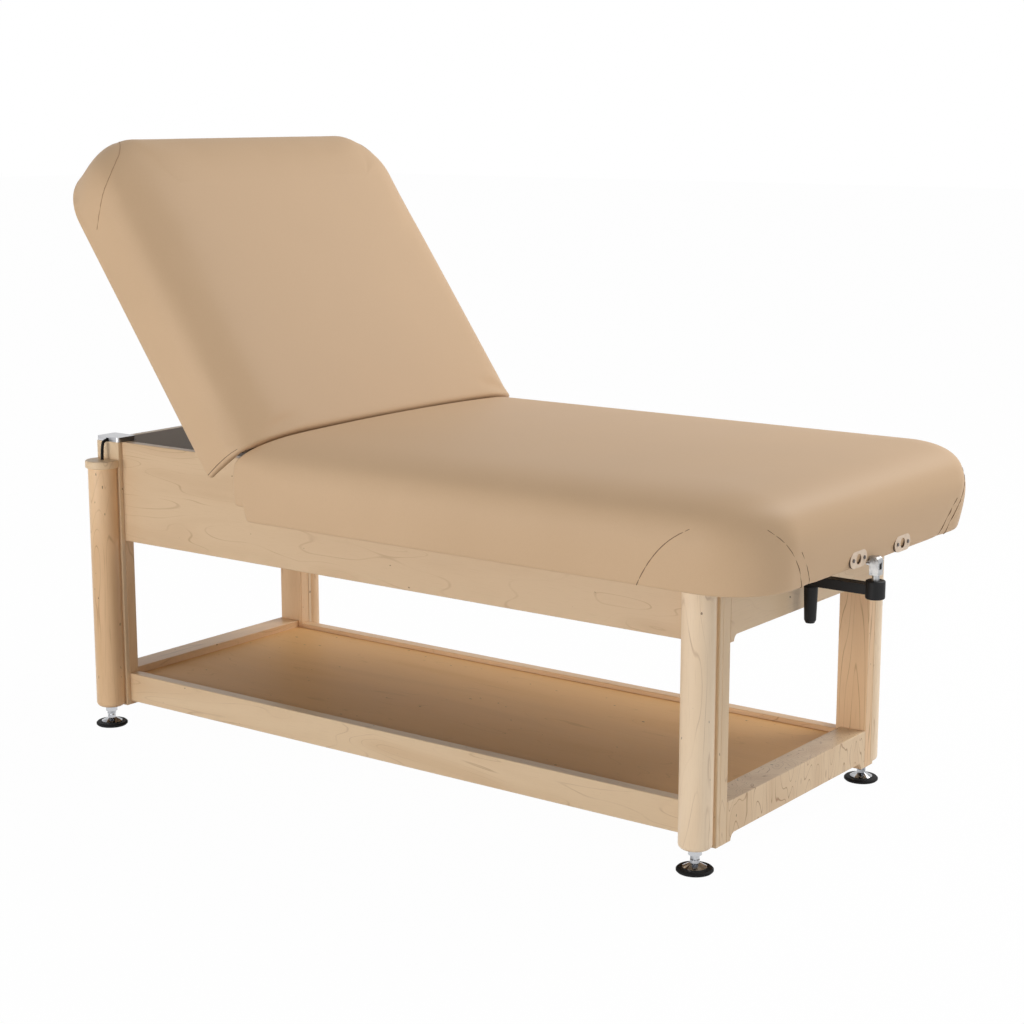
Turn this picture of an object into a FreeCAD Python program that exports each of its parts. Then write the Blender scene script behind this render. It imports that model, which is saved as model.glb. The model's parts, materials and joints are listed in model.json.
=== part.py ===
"""Treatment table with a maple frame, a hydraulic hand-crank lift and a tilting backrest.

The foot end points to +X, the front long side to -Y, and the rubber pads stand at Z = 0.
Sizes along X are counted from the middle of the wooden frame; every sub-part is then moved
by the same amount, so that the origin lies under the middle of the whole table at rest.
"""
import FreeCAD, Part
import math
import os
import re
import Sketcher

SIZES = [
    # wooden frame
    ("frame_length", 1615, "over the outer faces of the end frames"),
    ("frame_width", 600, "over the outer faces of the side aprons"),
    ("post_width", 68, "leg post along X"),
    ("post_thick", 26, "leg post along Y"),
    ("leg_bottom", 45, "lower end of posts and columns"),
    ("box_top", 647, "top of the apron box"),
    ("apron_bottom", 424, "lower edge of the side aprons"),
    ("end_apron_bottom", 438, "lower edge of the end aprons"),
    ("apron_thick", 20, "apron boards"),
    ("rail_bottom", 54, "lower edge of the side shelf rails"),
    ("rail_top", 118, "upper edge of the side shelf rails"),
    ("end_rail_bottom", 60, "lower edge of the end shelf rails"),
    ("end_rail_top", 124, "upper edge of the end shelf rails"),
    ("end_rail_thick", 58, "end shelf rails along X"),
    ("shelf_top", 108, "upper face of the shelf panel"),
    ("shelf_thick", 12, "shelf panel"),
    ("head_deck_thick", 12, "panel let into the head half of the box"),
    ("hinge_rail_thick", 24, "cross board that carries the hinges"),
    ("hinge_rail_bottom", 470, "lower edge of the cross board"),
    ("edge_ease", 1.2, "broken edges of the boards"),
    ("cove", 12, "hollow corners of the end aprons"),
    ("scallop", 14, "hollow corners under the end rails"),
    # leg columns
    ("plate_thick", 11, "backing plate between post and column"),
    ("column_radius", 32, "round leg column"),
    ("column_flat", 17.4, "column axis to its flat back"),
    ("column_round", 10, "rounded lower edge of a column"),
    ("cap_bottom", 591, "underside of the column cap"),
    ("cap_thick", 17, "turned wooden cap"),
    ("cap_radius", 37.5, "turned wooden cap"),
    ("cap_ease", 3, "rounded edges of a cap"),
    # hydraulic lift
    ("cylinder_radius", 14, "lift cylinder, outside"),
    ("cylinder_bottom", 60, "lower end of a lift cylinder"),
    ("bore_gap", 0.4, "cylinder to the bore of its column"),
    ("ram_radius", 8, "chromed ram"),
    ("ram_top", 540, "upper end of a ram, table lowered"),
    ("running_gap", 0.05, "radial clearance of turning and sliding pieces"),
    ("collar_radius", 13, "collar under a ram"),
    ("collar_bottom", 33, "lower face of the collar"),
    ("collar_thick", 9, "collar under a ram"),
    ("stem_radius", 5, "threaded stem of a levelling foot"),
    ("stem_top", 70, "upper end of the stem inside the ram"),
    ("stem_end_gap", 4, "free depth over the stem"),
    ("pad_radius", 35, "rubber pad of a foot"),
    ("pad_height", 8, "rubber pad of a foot"),
    ("pad_round", 2.5, "rounded edge of a pad"),
    ("dish_radius", 23, "chrome dish of a foot"),
    ("dish_rim", 1.5, "upright rim of the dish"),
    ("dish_height", 9, "dish over the pad"),
    ("neck_radius", 9, "neck over the dish"),
    ("neck_height", 6, "neck over the dish"),
    ("nut_radius", 9.8, "lock nut over its corners"),
    ("nut_height", 7, "lock nut of a foot"),
    ("nut_gap", 0.4, "lock nut to the collar"),
    ("hose_radius", 3.5, "hydraulic hose"),
    ("hose_bend", 18, "bend radius of the hoses"),
    ("hose_gap", 0.4, "hose to the holes and channels it passes"),
    ("hose_level", 590, "hoses inside the box"),
    ("hose_step", 14, "foot hoses under the head hoses"),
    ("head_entry", 30, "head hoses from the back of the pump"),
    ("foot_entry", 75, "foot hoses from the back of the pump"),
    ("hose_inset", 40, "hoses from the apron's outer face"),
    ("cover_length", 68, "hose cover plate along X"),
    ("cover_width", 54, "hose cover plate along Y"),
    ("cover_thick", 10, "hose cover plate"),
    ("cover_overhang", 11, "cover plate past the post's front face"),
    ("cover_round", 6, "rounded corners of a cover plate"),
    ("screw_radius", 3.5, "screw heads"),
    ("screw_height", 1.6, "screw heads"),
    ("cover_screw_edge", 9, "cover screws from the plate's edges"),
    # pump and crank
    ("pump_length", 150, "pump housing along X"),
    ("pump_width", 78, "pump housing along Y"),
    ("pump_height", 72, "pump housing"),
    ("pump_round", 8, "rounded edges of the pump"),
    ("shaft_y", -35, "pump shaft off the middle of the table"),
    ("shaft_z", 556, "pump shaft"),
    ("shaft_radius", 7, "pump shaft"),
    ("shaft_hole", 11, "hole for the shaft in the foot apron"),
    ("pin_gap", 12, "knuckle pin past the foot skirt"),
    ("hanging_gap", 18, "room between the hanging grip and the foot apron"),
    ("pin_radius", 3, "knuckle pin"),
    ("eye_radius", 9, "knuckle eyes"),
    ("eye_thick", 9, "eye on the pump shaft"),
    ("ear_thick", 5, "ears of the crank fork"),
    ("ear_gap", 0.3, "ear to eye"),
    ("ear_root", 26, "pin to the root of the ears"),
    ("slot_root", 15, "pin to the bottom of the slot"),
    ("pin_head", 2, "pin past the ears"),
    ("hub_drop", 36, "pin to the top of the crank hub"),
    ("hub_radius", 18.5, "crank hub"),
    ("hub_height", 35, "crank hub"),
    ("hub_floor", 6, "closed lower end of the hub"),
    ("arm_length", 133, "hub axis to grip axis"),
    ("arm_thick", 19, "crank arm"),
    ("arm_root_width", 26, "crank arm at the hub"),
    ("arm_tip_width", 24, "crank arm at the grip"),
    ("spindle_radius", 3.5, "grip spindle"),
    ("spindle_length", 54.75, "grip spindle below the arm"),
    ("spindle_gap", 2, "spindle end to the bottom of the grip's bore"),
    ("grip_edge", 1, "broken upper edge of the grip"),
    ("grip_shoulder", 3, "upper shoulder of the grip, and the narrowing of its lower end"),
    ("grip_end", 6, "rounded lower end of the grip"),
    ("grip_length", 73, "turning grip"),
    ("grip_top_radius", 13.5, "turning grip"),
    ("grip_radius", 11.5, "turning grip at its lower end"),
    ("grip_gap", 0.4, "grip to arm"),
    # top
    ("side_overhang", 148, "skirts past the side aprons"),
    ("foot_overhang", 152.5, "foot skirt past the foot end frame"),
    ("corner_radius", 128, "plan corners of both sections"),
    ("skirt_thick", 13, "upholstered skirt boards"),
    ("bend_margin", 0.01, "straight stretch left beside a skirt's bend"),
    ("skirt_bottom", 550, "lower edge of the skirts"),
    ("deck_thick", 12, "plywood decks"),
    ("cushion_top", 724, "highest point of the seat cushion"),
    ("crown", 9, "rise of a cushion's middle over its shoulders"),
    ("shoulder", 62, "width of the rounded cushion edges"),
    ("side_bulge", 3, "cushion side past the skirt"),
    ("swell_share", 0.3, "height of the widest line of a cushion, as a share"),
    ("hinge_corner", 12, "plan corners of the cushions at the hinge"),
    ("least_corner", 8, "smallest plan corner of a cushion"),
    ("seam_set_back", 37, "hinge axis to the hinge end of the seat skirts"),
    ("notch_set_back", 6, "hinge axis to the seat skirts below their notch"),
    ("notch_height", 30, "notch in the hinge end of the seat skirt"),
    ("seam_gap", 4.2, "seat skirt to backrest skirt, flat"),
    ("squeeze_gap", 1.2, "seat cushion to raised backrest"),
    ("shaft_notch", 13, "half width of the shaft notch in the foot skirt"),
    # backrest
    ("hinge_x", -223, "backrest hinge axis"),
    ("hinge_z", 652, "backrest hinge axis"),
    ("backrest_angle", 54.7, "backrest raised, as stored"),
    ("backrest_reach", 790, "hinge axis to the outer face of the head skirt"),
    ("backrest_lift", 11, "backrest deck over the box when flat"),
    ("deck_end", 9, "backrest deck to the hinge axis"),
    ("seat_deck_end", 13, "seat deck to the hinge axis"),
    ("end_lean", 10, "lean of the backrest cushion's hinge end, degrees"),
    # hinges
    ("knuckle_radius", 4.5, "hinge knuckles"),
    ("hinge_pin_radius", 2, "hinge pins"),
    ("leaf_thick", 2.5, "hinge leaves"),
    ("leaf_width", 32, "hinge leaves from the axis"),
    ("leaf_length", 110, "each hinge along Y"),
    ("hinge_margin", 25, "outer hinges to the side aprons"),
    ("knuckle_gap", 0.4, "between neighbouring knuckles"),
    # gas spring
    ("spring_drop", 150, "hinge axis down to the lower spring pin"),
    ("spring_set_back", 26, "hinge axis to the lower spring pin along X"),
    ("spring_reach", 150.8, "hinge axis to the upper spring pin along the backrest"),
    ("spring_pin_drop", 20, "hinge axis plane to the upper spring pin"),
    ("spring_radius", 11, "gas spring cylinder"),
    ("spring_length", 150, "gas spring cylinder from its pin"),
    ("rod_radius", 4, "gas spring rod"),
    ("rod_tail", 36, "rod inside the cylinder, spring fully out"),
    ("eye_root", 6.3, "lower pin to the cylinder's end"),
    ("spring_pin_radius", 4, "gas spring pins"),
    ("spring_eye_radius", 9, "lower eye of the gas spring"),
    ("rod_eye_radius", 15, "rod eye, with play round its pin"),
    ("rod_eye_bore", 11, "rod eye, with play round its pin"),
    ("spring_eye_thick", 9, "both eyes of the gas spring"),
    ("bracket_thick", 4, "ears of the spring brackets"),
    ("bracket_gap", 0.6, "spring eye to bracket ear"),
    ("bracket_width", 40, "bracket flanges"),
    ("slot_half", 34, "half width of the slot in the head deck"),
    # release lever
    ("lever_set_in", 70, "lever axis from the head skirt"),
    ("lever_drop", 26, "lever axis under the backrest deck"),
    ("lever_length", 52, "lever paddle past its axis"),
    ("lever_width", 120, "lever paddle along Y"),
    ("lever_thick", 6, "lever paddle"),
    ("lever_hub", 7, "lever hub radius"),
    ("lever_pin", 3, "lever pin radius"),
    ("lever_ear", 5, "lever bracket ears"),
    # accessory sockets
    ("socket_spacing", 178, "between the two socket holes"),
    ("socket_z", 568, "socket holes"),
    ("socket_radius", 9.8, "socket bore"),
    ("socket_wall", 2.6, "socket tube wall"),
    ("socket_depth", 64, "socket bore"),
    ("socket_flange", 64, "oval socket plate along Y"),
    ("socket_height", 31, "oval socket plate along Z"),
    ("socket_plate", 4, "oval socket plate"),
    ("socket_screw", 21, "socket screws from the hole"),
]
ALIASES = {alias for alias, _, _ in SIZES}

doc = FreeCAD.newDocument("treatment_table")
sheet = doc.addObject("Spreadsheet::Sheet", "sheet")
for row, (alias, value, note) in enumerate(SIZES, start=1):
    sheet.set("A%d" % row, note)
    sheet.set("B%d" % row, str(value))
    sheet.setAlias("B%d" % row, alias)
doc.recompute()

nodes = []


def size(alias):
    """The sheet's value for a name, for shapes that are worked out in code."""
    return float(getattr(sheet, alias))


def linked(text):
    """An expression in which each size's name points to its cell."""
    def cell(match):
        name = match.group(0)
        return "sheet." + name if name in ALIASES else name

    return re.sub(r"[a-z][a-z_]*", cell, text)


def bind(thing, prop, text):
    thing.setExpression(prop, linked(str(text)))


# The knuckle pin stands clear of the foot skirt, and far enough out for the hanging grip to clear the apron.
PIN_REACH = "max(foot_overhang + pin_gap; arm_length + grip_top_radius + hanging_gap)"
pin_reach = max(size("foot_overhang") + size("pin_gap"),
                size("arm_length") + size("grip_top_radius") + size("hanging_gap"))

# The frame's middle lies this far from the middle of the whole table at rest.
MIDDLE = "(%s + hub_radius + post_width / 2 - cap_radius) / 2" % PIN_REACH
MIDDLE_VALUE = (pin_reach + size("hub_radius") + size("post_width") / 2 - size("cap_radius")) / 2


def place(thing, x="0", y="0", z="0", axis=None, angle="0"):
    """Put a document object at a point of the wooden frame, turned about one axis."""
    if axis:
        thing.Placement = FreeCAD.Placement(FreeCAD.Vector(), FreeCAD.Rotation(FreeCAD.Vector(*axis), 10))
        bind(thing, "Placement.Rotation.Angle", angle)
    bind(thing, "Placement.Base.x", "(%s) - (%s)" % (x, MIDDLE))
    bind(thing, "Placement.Base.y", y)
    bind(thing, "Placement.Base.z", z)


def node(thing, label):
    thing.Label = label
    nodes.append(thing)
    return thing


def body(name):
    return doc.addObject("PartDesign::Body", name)


def sketch_on(owner, plane, level="0"):
    """A sketch on one of the body's own planes, moved along that plane's normal."""
    sketch = owner.newObject("Sketcher::SketchObject", owner.Name + "_sketch")
    support = [f for f in owner.Origin.OriginFeatures if f.Role == plane + "_Plane"][0]
    sketch.AttachmentSupport = [(support, "")]
    sketch.MapMode = "FlatFace"
    bind(sketch, "AttachmentOffset.Base.z", level)
    return sketch


def fix_point(sketch, index, end, spot):
    for kind, text in zip(("DistanceX", "DistanceY"), spot):
        number = sketch.addConstraint(Sketcher.Constraint(kind, -1, 1, index, end, 1.0))
        bind(sketch, "Constraints[%d]" % number, text)


def polygon(sketch, spots):
    """A closed outline through corners whose coordinates are expressions."""
    first = sketch.GeometryCount
    count = len(spots)
    ring = [FreeCAD.Vector(math.cos(2 * math.pi * i / count), math.sin(2 * math.pi * i / count), 0)
            for i in range(count)]
    for i in range(count):
        sketch.addGeometry(Part.LineSegment(ring[i], ring[(i + 1) % count]))
    for i in range(count):
        sketch.addConstraint(Sketcher.Constraint("Coincident", first + i, 2, first + (i + 1) % count, 1))
    for i, spot in enumerate(spots):
        fix_point(sketch, first + i, 1, spot)


def circle(sketch, spot, radius):
    index = sketch.addGeometry(Part.Circle(FreeCAD.Vector(), FreeCAD.Vector(0, 0, 1), 1.0))
    fix_point(sketch, index, 3, spot)
    number = sketch.addConstraint(Sketcher.Constraint("Radius", index, 1.0))
    bind(sketch, "Constraints[%d]" % number, radius)


def pad(owner, sketch, length):
    feature = owner.newObject("PartDesign::Pad", owner.Name + "_pad")
    feature.Profile = sketch
    bind(feature, "Length", length)
    return feature


def pocket(owner, sketch, length):
    """A cut along the sketch's normal, so that it runs the same way as a pad from that sketch."""
    feature = owner.newObject("PartDesign::Pocket", owner.Name + "_pocket")
    feature.Profile = sketch
    feature.Reversed = True
    bind(feature, "Length", length)
    return feature


def extrude(owner, plane, span, outline, cut=False):
    """Pad or pocket an outline from one coordinate to a larger one across the plane."""
    low, high = span
    level = "-(%s)" % high if plane == "XZ" else low
    sketch = sketch_on(owner, plane, level)
    for shape in outline:
        shape(sketch)
    return (pocket if cut else pad)(owner, sketch, "(%s) - (%s)" % (high, low))


def outline(spots):
    return lambda sketch: polygon(sketch, spots)


def ring(spot, radius):
    return lambda sketch: circle(sketch, spot, radius)


def rectangle(x, y):
    return outline([(x[0], y[0]), (x[1], y[0]), (x[1], y[1]), (x[0], y[1])])


def revolve(owner, spots):
    """Turn an outline of (radius, height) corners about the body's upright axis."""
    sketch = sketch_on(owner, "XZ")
    polygon(sketch, spots)
    feature = owner.newObject("PartDesign::Revolution", owner.Name + "_turning")
    feature.Profile = sketch
    feature.ReferenceAxis = (sketch, ["V_Axis"])
    feature.Angle = 360
    return feature


def ease(owner, feature, radius, kind="Chamfer", keep=None):
    """Break or round the edges of a feature that a test picks out."""
    doc.recompute()
    edges = enumerate(feature.Shape.Edges, start=1)
    names = ["Edge%d" % number for number, edge in edges if keep is None or keep(edge)]
    dressed = owner.newObject("PartDesign::" + kind, owner.Name + "_edges")
    dressed.Base = (feature, names)
    bind(dressed, "Size" if kind == "Chamfer" else "Radius", radius)
    return dressed


def upright(edge):
    low, high = edge.Vertexes[0].Point, edge.Vertexes[-1].Point
    return abs(low.x - high.x) < 1e-6 and abs(low.y - high.y) < 1e-6 and abs(low.z - high.z) > 1e-6


def span(sign, inner, outer):
    """The low and high coordinate of a stretch on either side of the middle."""
    return (inner, outer) if sign > 0 else ("-(%s)" % outer, "-(%s)" % inner)


def both(half):
    return ("-(%s)" % half, half)


def board(label, x, y, z):
    """A plain board between six faces, with its edges broken."""
    owner = body(label)
    ease(owner, extrude(owner, "XY", z, [rectangle(x, y)]), "edge_ease")
    place(owner)
    return node(owner, label)


def rod(name, radius, length, x, y, z, axis=None, angle="0"):
    """A round bar from a point along the frame's upright axis, or turned about another axis."""
    bar = doc.addObject("Part::Cylinder", name)
    bind(bar, "Radius", radius)
    bind(bar, "Height", length)
    place(bar, x, y, z, axis, angle)
    return bar


def group(label, things):
    """Separate solids that share one node."""
    piece = doc.addObject("Part::Compound", label)
    piece.Links = things
    return node(piece, label)


ENDS = (("head", -1), ("foot", 1))
SIDES = (("front", -1), ("rear", 1))
CORNERS = [(end + "_" + side, sx, sy) for end, sx in ENDS for side, sy in SIDES]
POST_IN = "frame_length / 2 - post_width"
POST_OUT = "frame_length / 2"
POST_BACK = "frame_width / 2 - post_thick"
AXIS_X = "(frame_length / 2 - post_width / 2)"
AXIS_Y = "(frame_width / 2 + plate_thick + column_flat)"
HALF_TOP = "(frame_width / 2 + side_overhang)"
SKIRT_IN = "(frame_width / 2 + side_overhang - skirt_thick)"
FOOT_END = "(frame_length / 2 + foot_overhang)"
FOOT_INNER = "(frame_length / 2 + foot_overhang - skirt_thick)"
PIN_X = "(frame_length / 2 + %s)" % PIN_REACH
SEAM_X = "(hinge_x - seam_set_back)"
NOTCH_X = "(hinge_x - notch_set_back)"
half_top = size("frame_width") / 2 + size("side_overhang")
foot_end = size("frame_length") / 2 + size("foot_overhang")
seam_x = size("hinge_x") - size("seam_set_back")
SEAT_DECK_BOTTOM = "(box_top + cover_thick)"
SEAT_DECK_TOP = "(box_top + cover_thick + deck_thick)"
ALONG_X = (0, 1, 0)
ALONG_Y = (1, 0, 0)

# Side and end aprons; the foot apron lets the pump shaft through.
for side, sy in SIDES:
    board("apron_" + side, both(POST_IN), span(sy, "frame_width / 2 - apron_thick", "frame_width / 2"),
          ("apron_bottom", "box_top"))


def end_board(label, x, bottom, top, hollow):
    """A board between two posts, with hollow curves from its lower edge down to them."""
    owner = body(label)
    inner = "(%s - %s)" % (POST_BACK, hollow)
    low = "%s - %s" % (bottom, hollow)
    right = [(inner, bottom), (inner, low), (POST_BACK, low), (POST_BACK, top)]
    left = [("-(%s)" % y, z) for y, z in reversed(right)]
    blank = extrude(owner, "YZ", x, [outline(right + left)])
    crest = size("frame_width") / 2 - size("post_thick") - size(hollow)
    curved = ease(owner, blank, hollow + " - bend_margin", "Fillet",
                  lambda edge: abs(edge.BoundBox.ZMin - size(bottom)) < 1e-6
                  and abs(abs(edge.BoundBox.Center.y) - crest) < 1e-6)
    ease(owner, curved, "edge_ease", keep=lambda edge: edge.BoundBox.ZMin > size(top) - 1e-6)
    place(owner)
    return node(owner, label)


end_board("apron_head", span(-1, "frame_length / 2 - apron_thick", POST_OUT), "end_apron_bottom",
          "box_top", "cove")
foot_apron = end_board("apron_foot", span(1, "frame_length / 2 - apron_thick", POST_OUT), "end_apron_bottom",
                       "box_top", "cove")
extrude(foot_apron, "YZ", ("frame_length / 2 - apron_thick", POST_OUT),
        [ring(("shaft_y", "shaft_z"), "shaft_hole")], cut=True)

# Leg posts, and the shelf rails between them.
for corner, sx, sy in CORNERS:
    board("post_" + corner, span(sx, POST_IN, POST_OUT), span(sy, POST_BACK, "frame_width / 2"),
          ("leg_bottom", "box_top"))
for side, sy in SIDES:
    board("shelf_rail_" + side, both(POST_IN), span(sy, POST_BACK, "frame_width / 2"),
          ("rail_bottom", "rail_top"))
for end, sx in ENDS:
    end_board("shelf_rail_" + end, span(sx, "frame_length / 2 - end_rail_thick", POST_OUT), "end_rail_bottom",
              "end_rail_top", "scallop")
board("shelf_panel", both("frame_length / 2 - end_rail_thick"), both(POST_BACK),
      ("shelf_top - shelf_thick", "shelf_top"))

# The cross board that carries the backrest hinges, and the panel over the head half of the box.
HINGE_FACE = "(hinge_x + knuckle_radius)"
HOSE_DROP = "(frame_width / 2 - hose_inset)"
HINGE_RAIL_X = (HINGE_FACE, HINGE_FACE + " + hinge_rail_thick")
hinge_rail = body("hinge_rail")
blank = extrude(hinge_rail, "XY", ("hinge_rail_bottom", SEAT_DECK_BOTTOM),
                [rectangle(HINGE_RAIL_X, both("frame_width / 2 - apron_thick"))])
ease(hinge_rail, blank, "edge_ease")
for sy in (-1, 1):
    extrude(hinge_rail, "YZ", HINGE_RAIL_X,
            [ring(("%d * %s" % (sy, HOSE_DROP), "hose_level"), "hose_radius + hose_gap")], cut=True)
place(hinge_rail)
node(hinge_rail, "hinge_rail")
HEAD_DECK_Z = ("box_top - head_deck_thick", "box_top")
head_deck = body("head_deck")
DECK_HEAD = "-(frame_length / 2 - apron_thick)"
DECK_FOOT = "(hinge_x - knuckle_radius - leaf_thick)"
extrude(head_deck, "XY", HEAD_DECK_Z,
        [rectangle((DECK_HEAD, DECK_FOOT), both("frame_width / 2 - apron_thick"))])
SLOT_HEAD = "(hinge_x - spring_reach - rod_eye_radius - bracket_width)"
extrude(head_deck, "XY", HEAD_DECK_Z, [rectangle((SLOT_HEAD, DECK_FOOT), both("slot_half"))], cut=True)
for sy in (-1, 1):
    corner_x = (DECK_HEAD, "-(%s) + hose_radius + hose_gap" % AXIS_X)
    corner_y = span(sy, HOSE_DROP + " - hose_radius - hose_gap", "frame_width / 2 - apron_thick")
    extrude(head_deck, "XY", HEAD_DECK_Z, [rectangle(corner_x, corner_y)], cut=True)
    post_x = (DECK_HEAD, "-(%s)" % POST_IN)
    post_y = span(sy, POST_BACK, "frame_width / 2 - apron_thick")
    extrude(head_deck, "XY", HEAD_DECK_Z, [rectangle(post_x, post_y)], cut=True)
place(head_deck)
node(head_deck, "head_deck")

# Backing plates, round columns with a flat back and a bore, and turned caps.
plates = []
for corner, sx, sy in CORNERS:
    owner = body("backing_plate_" + corner)
    plate_y = span(sy, "frame_width / 2", "frame_width / 2 + plate_thick")
    blank = extrude(owner, "XY", ("leg_bottom", "box_top"), [rectangle(span(sx, POST_IN, POST_OUT), plate_y)])
    ease(owner, blank, "edge_ease")
    place(owner)
    plates.append(owner)
group("column_backing_plates", plates)


COLUMN_Z = ("leg_bottom", "cap_bottom")
CAP_Z = ("cap_bottom", "cap_bottom + cap_thick")


def column(corner, sx, sy):
    owner = body("column_" + corner)
    extrude(owner, "XY", COLUMN_Z, [ring(("0", "0"), "column_radius")])
    ease(owner, owner.Tip, "column_round", "Fillet",
         lambda edge: abs(edge.BoundBox.ZMax - size("leg_bottom")) < 1e-6)
    back = ("column_flat", "2 * column_radius") if sy < 0 else ("-2 * column_radius", "-column_flat")
    extrude(owner, "XY", COLUMN_Z, [rectangle(both("2 * column_radius"), back)], cut=True)
    extrude(owner, "XY", COLUMN_Z, [ring(("0", "0"), "cylinder_radius + bore_gap")], cut=True)
    place(owner, "%d * %s" % (sx, AXIS_X), "%d * %s" % (sy, AXIS_Y))
    return node(owner, "column_" + corner)


caps = []
for corner, sx, sy in CORNERS:
    column(corner, sx, sy)
    owner = body("cap_" + corner)
    disc = extrude(owner, "XY", CAP_Z, [ring(("0", "0"), "cap_radius")])
    ease(owner, disc, "cap_ease", "Fillet")
    extrude(owner, "XY", CAP_Z, [ring(("0", "0"), "hose_radius + hose_gap")], cut=True)
    back = ("column_flat", "2 * cap_radius") if sy < 0 else ("-2 * cap_radius", "-column_flat")
    extrude(owner, "XY", CAP_Z, [rectangle(both("2 * cap_radius"), back)], cut=True)
    place(owner, "%d * %s" % (sx, AXIS_X), "%d * %s" % (sy, AXIS_Y))
    caps.append(owner)
group("column_caps", caps)

# Lift cylinders in the columns; the rams stand on the feet and carry the whole table.
cylinders = []
rams = []
for corner, sx, sy in CORNERS:
    at = ("%d * %s" % (sx, AXIS_X), "%d * %s" % (sy, AXIS_Y))
    owner = body("cylinder_" + corner)
    revolve(owner, [("ram_radius + running_gap", "cylinder_bottom"), ("cylinder_radius", "cylinder_bottom"),
                    ("cylinder_radius", "cap_bottom"), ("0", "cap_bottom"),
                    ("0", "ram_top + stem_end_gap"), ("ram_radius + running_gap", "ram_top + stem_end_gap")])
    place(owner, *at)
    cylinders.append(owner)
    owner = body("ram_" + corner)
    revolve(owner, [("stem_radius + running_gap", "collar_bottom"), ("collar_radius", "collar_bottom"),
                    ("collar_radius", "collar_bottom + collar_thick"),
                    ("ram_radius", "collar_bottom + collar_thick"),
                    ("ram_radius", "ram_top"), ("0", "ram_top"), ("0", "stem_top + stem_end_gap"),
                    ("stem_radius + running_gap", "stem_top + stem_end_gap")])
    place(owner, *at)
    rams.append(owner)
group("lift_cylinders", cylinders)
group("lift_rams", rams)

# Levelling feet: a rubber pad, and a chrome dish with its neck, lock nut and stem.
for corner, sx, sy in CORNERS:
    at = ("%d * %s" % (sx, AXIS_X), "%d * %s" % (sy, AXIS_Y))
    owner = body("foot_pad_" + corner)
    revolve(owner, [("0", "0"), ("pad_radius - pad_round", "0"), ("pad_radius", "pad_round"),
                    ("pad_radius", "pad_height - pad_round"), ("pad_radius - pad_round", "pad_height"),
                    ("0", "pad_height")])
    place(owner, *at)
    node(owner, "foot_pad_" + corner)
    owner = body("foot_stem_" + corner)
    NECK = "pad_height + dish_height + neck_height"
    revolve(owner, [("0", "pad_height"), ("dish_radius", "pad_height"),
                    ("dish_radius", "pad_height + dish_rim"), ("neck_radius", "pad_height + dish_height"),
                    ("neck_radius", NECK), ("stem_radius", NECK),
                    ("stem_radius", "stem_top"), ("0", "stem_top")])
    nut = owner.newObject("PartDesign::AdditivePrism", owner.Name + "_nut")
    nut.Polygon = 6
    bind(nut, "Circumradius", "nut_radius")
    bind(nut, "Height", "nut_height")
    bind(nut, "Placement.Base.z", "collar_bottom - nut_gap - nut_height")
    place(owner, *at)
    node(owner, "foot_stem_" + corner)


def tube(spots, bend, radius):
    """A round tube along straight runs joined by tangent arcs of one radius."""
    points = [FreeCAD.Vector(*spot) for spot in spots]
    edges = []
    start = points[0]
    for before, corner, after in zip(points, points[1:], points[2:]):
        back = (before - corner).normalize()
        ahead = (after - corner).normalize()
        half = back.getAngle(ahead) / 2
        reach = bend / math.tan(half)
        first = corner + back * reach
        last = corner + ahead * reach
        centre = corner + (back + ahead).normalize() * (bend / math.sin(half))
        middle = centre + (corner - centre).normalize() * bend
        edges.append(Part.LineSegment(start, first).toShape())
        edges.append(Part.Arc(first, middle, last).toShape())
        start = last
    edges.append(Part.LineSegment(start, points[-1]).toShape())
    path = Part.Wire(edges)
    profile = Part.Wire([Part.makeCircle(radius, points[0], points[1] - points[0])])
    solid = path.makePipeShell([profile], True, False)
    ideal = math.pi * radius ** 2 * path.Length
    if abs(solid.Volume - ideal) > 0.01 * ideal:
        raise RuntimeError("a hose came out with the wrong volume")
    return solid


def feature(label, shape):
    """A sub-part whose form is worked out in code, at the frame's place."""
    thing = doc.addObject("Part::Feature", label)
    thing.Shape = shape
    thing.Placement = FreeCAD.Placement(FreeCAD.Vector(-MIDDLE_VALUE, 0, 0), FreeCAD.Rotation())
    return thing


# Hoses from the caps over the posts, under the cover plates and inside the box to the pump.
axis_x = size("frame_length") / 2 - size("post_width") / 2
axis_y = size("frame_width") / 2 + size("plate_thick") + size("column_flat")
drop_y = size("frame_width") / 2 - size("hose_inset")
over = size("box_top") + size("hose_radius") + size("hose_gap")
pump_back = size("frame_length") / 2 - size("apron_thick") - size("pump_length")
pump_half = size("pump_width") / 2
hoses = []
for corner, sx, sy in CORNERS:
    level = size("hose_level") - (size("hose_step") if sx > 0 else 0)
    end_y = size("shaft_y") + sy * pump_half
    entry_x = pump_back + size("head_entry" if sx < 0 else "foot_entry")
    route = [(sx * axis_x, sy * axis_y, size("cap_bottom")), (sx * axis_x, sy * axis_y, over),
             (sx * axis_x, sy * drop_y, over), (sx * axis_x, sy * drop_y, level),
             (entry_x, sy * drop_y, level), (entry_x, end_y, level)]
    hoses.append(feature("hose_" + corner, tube(route, size("hose_bend"), size("hose_radius"))))
group("lift_hoses", hoses)

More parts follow.
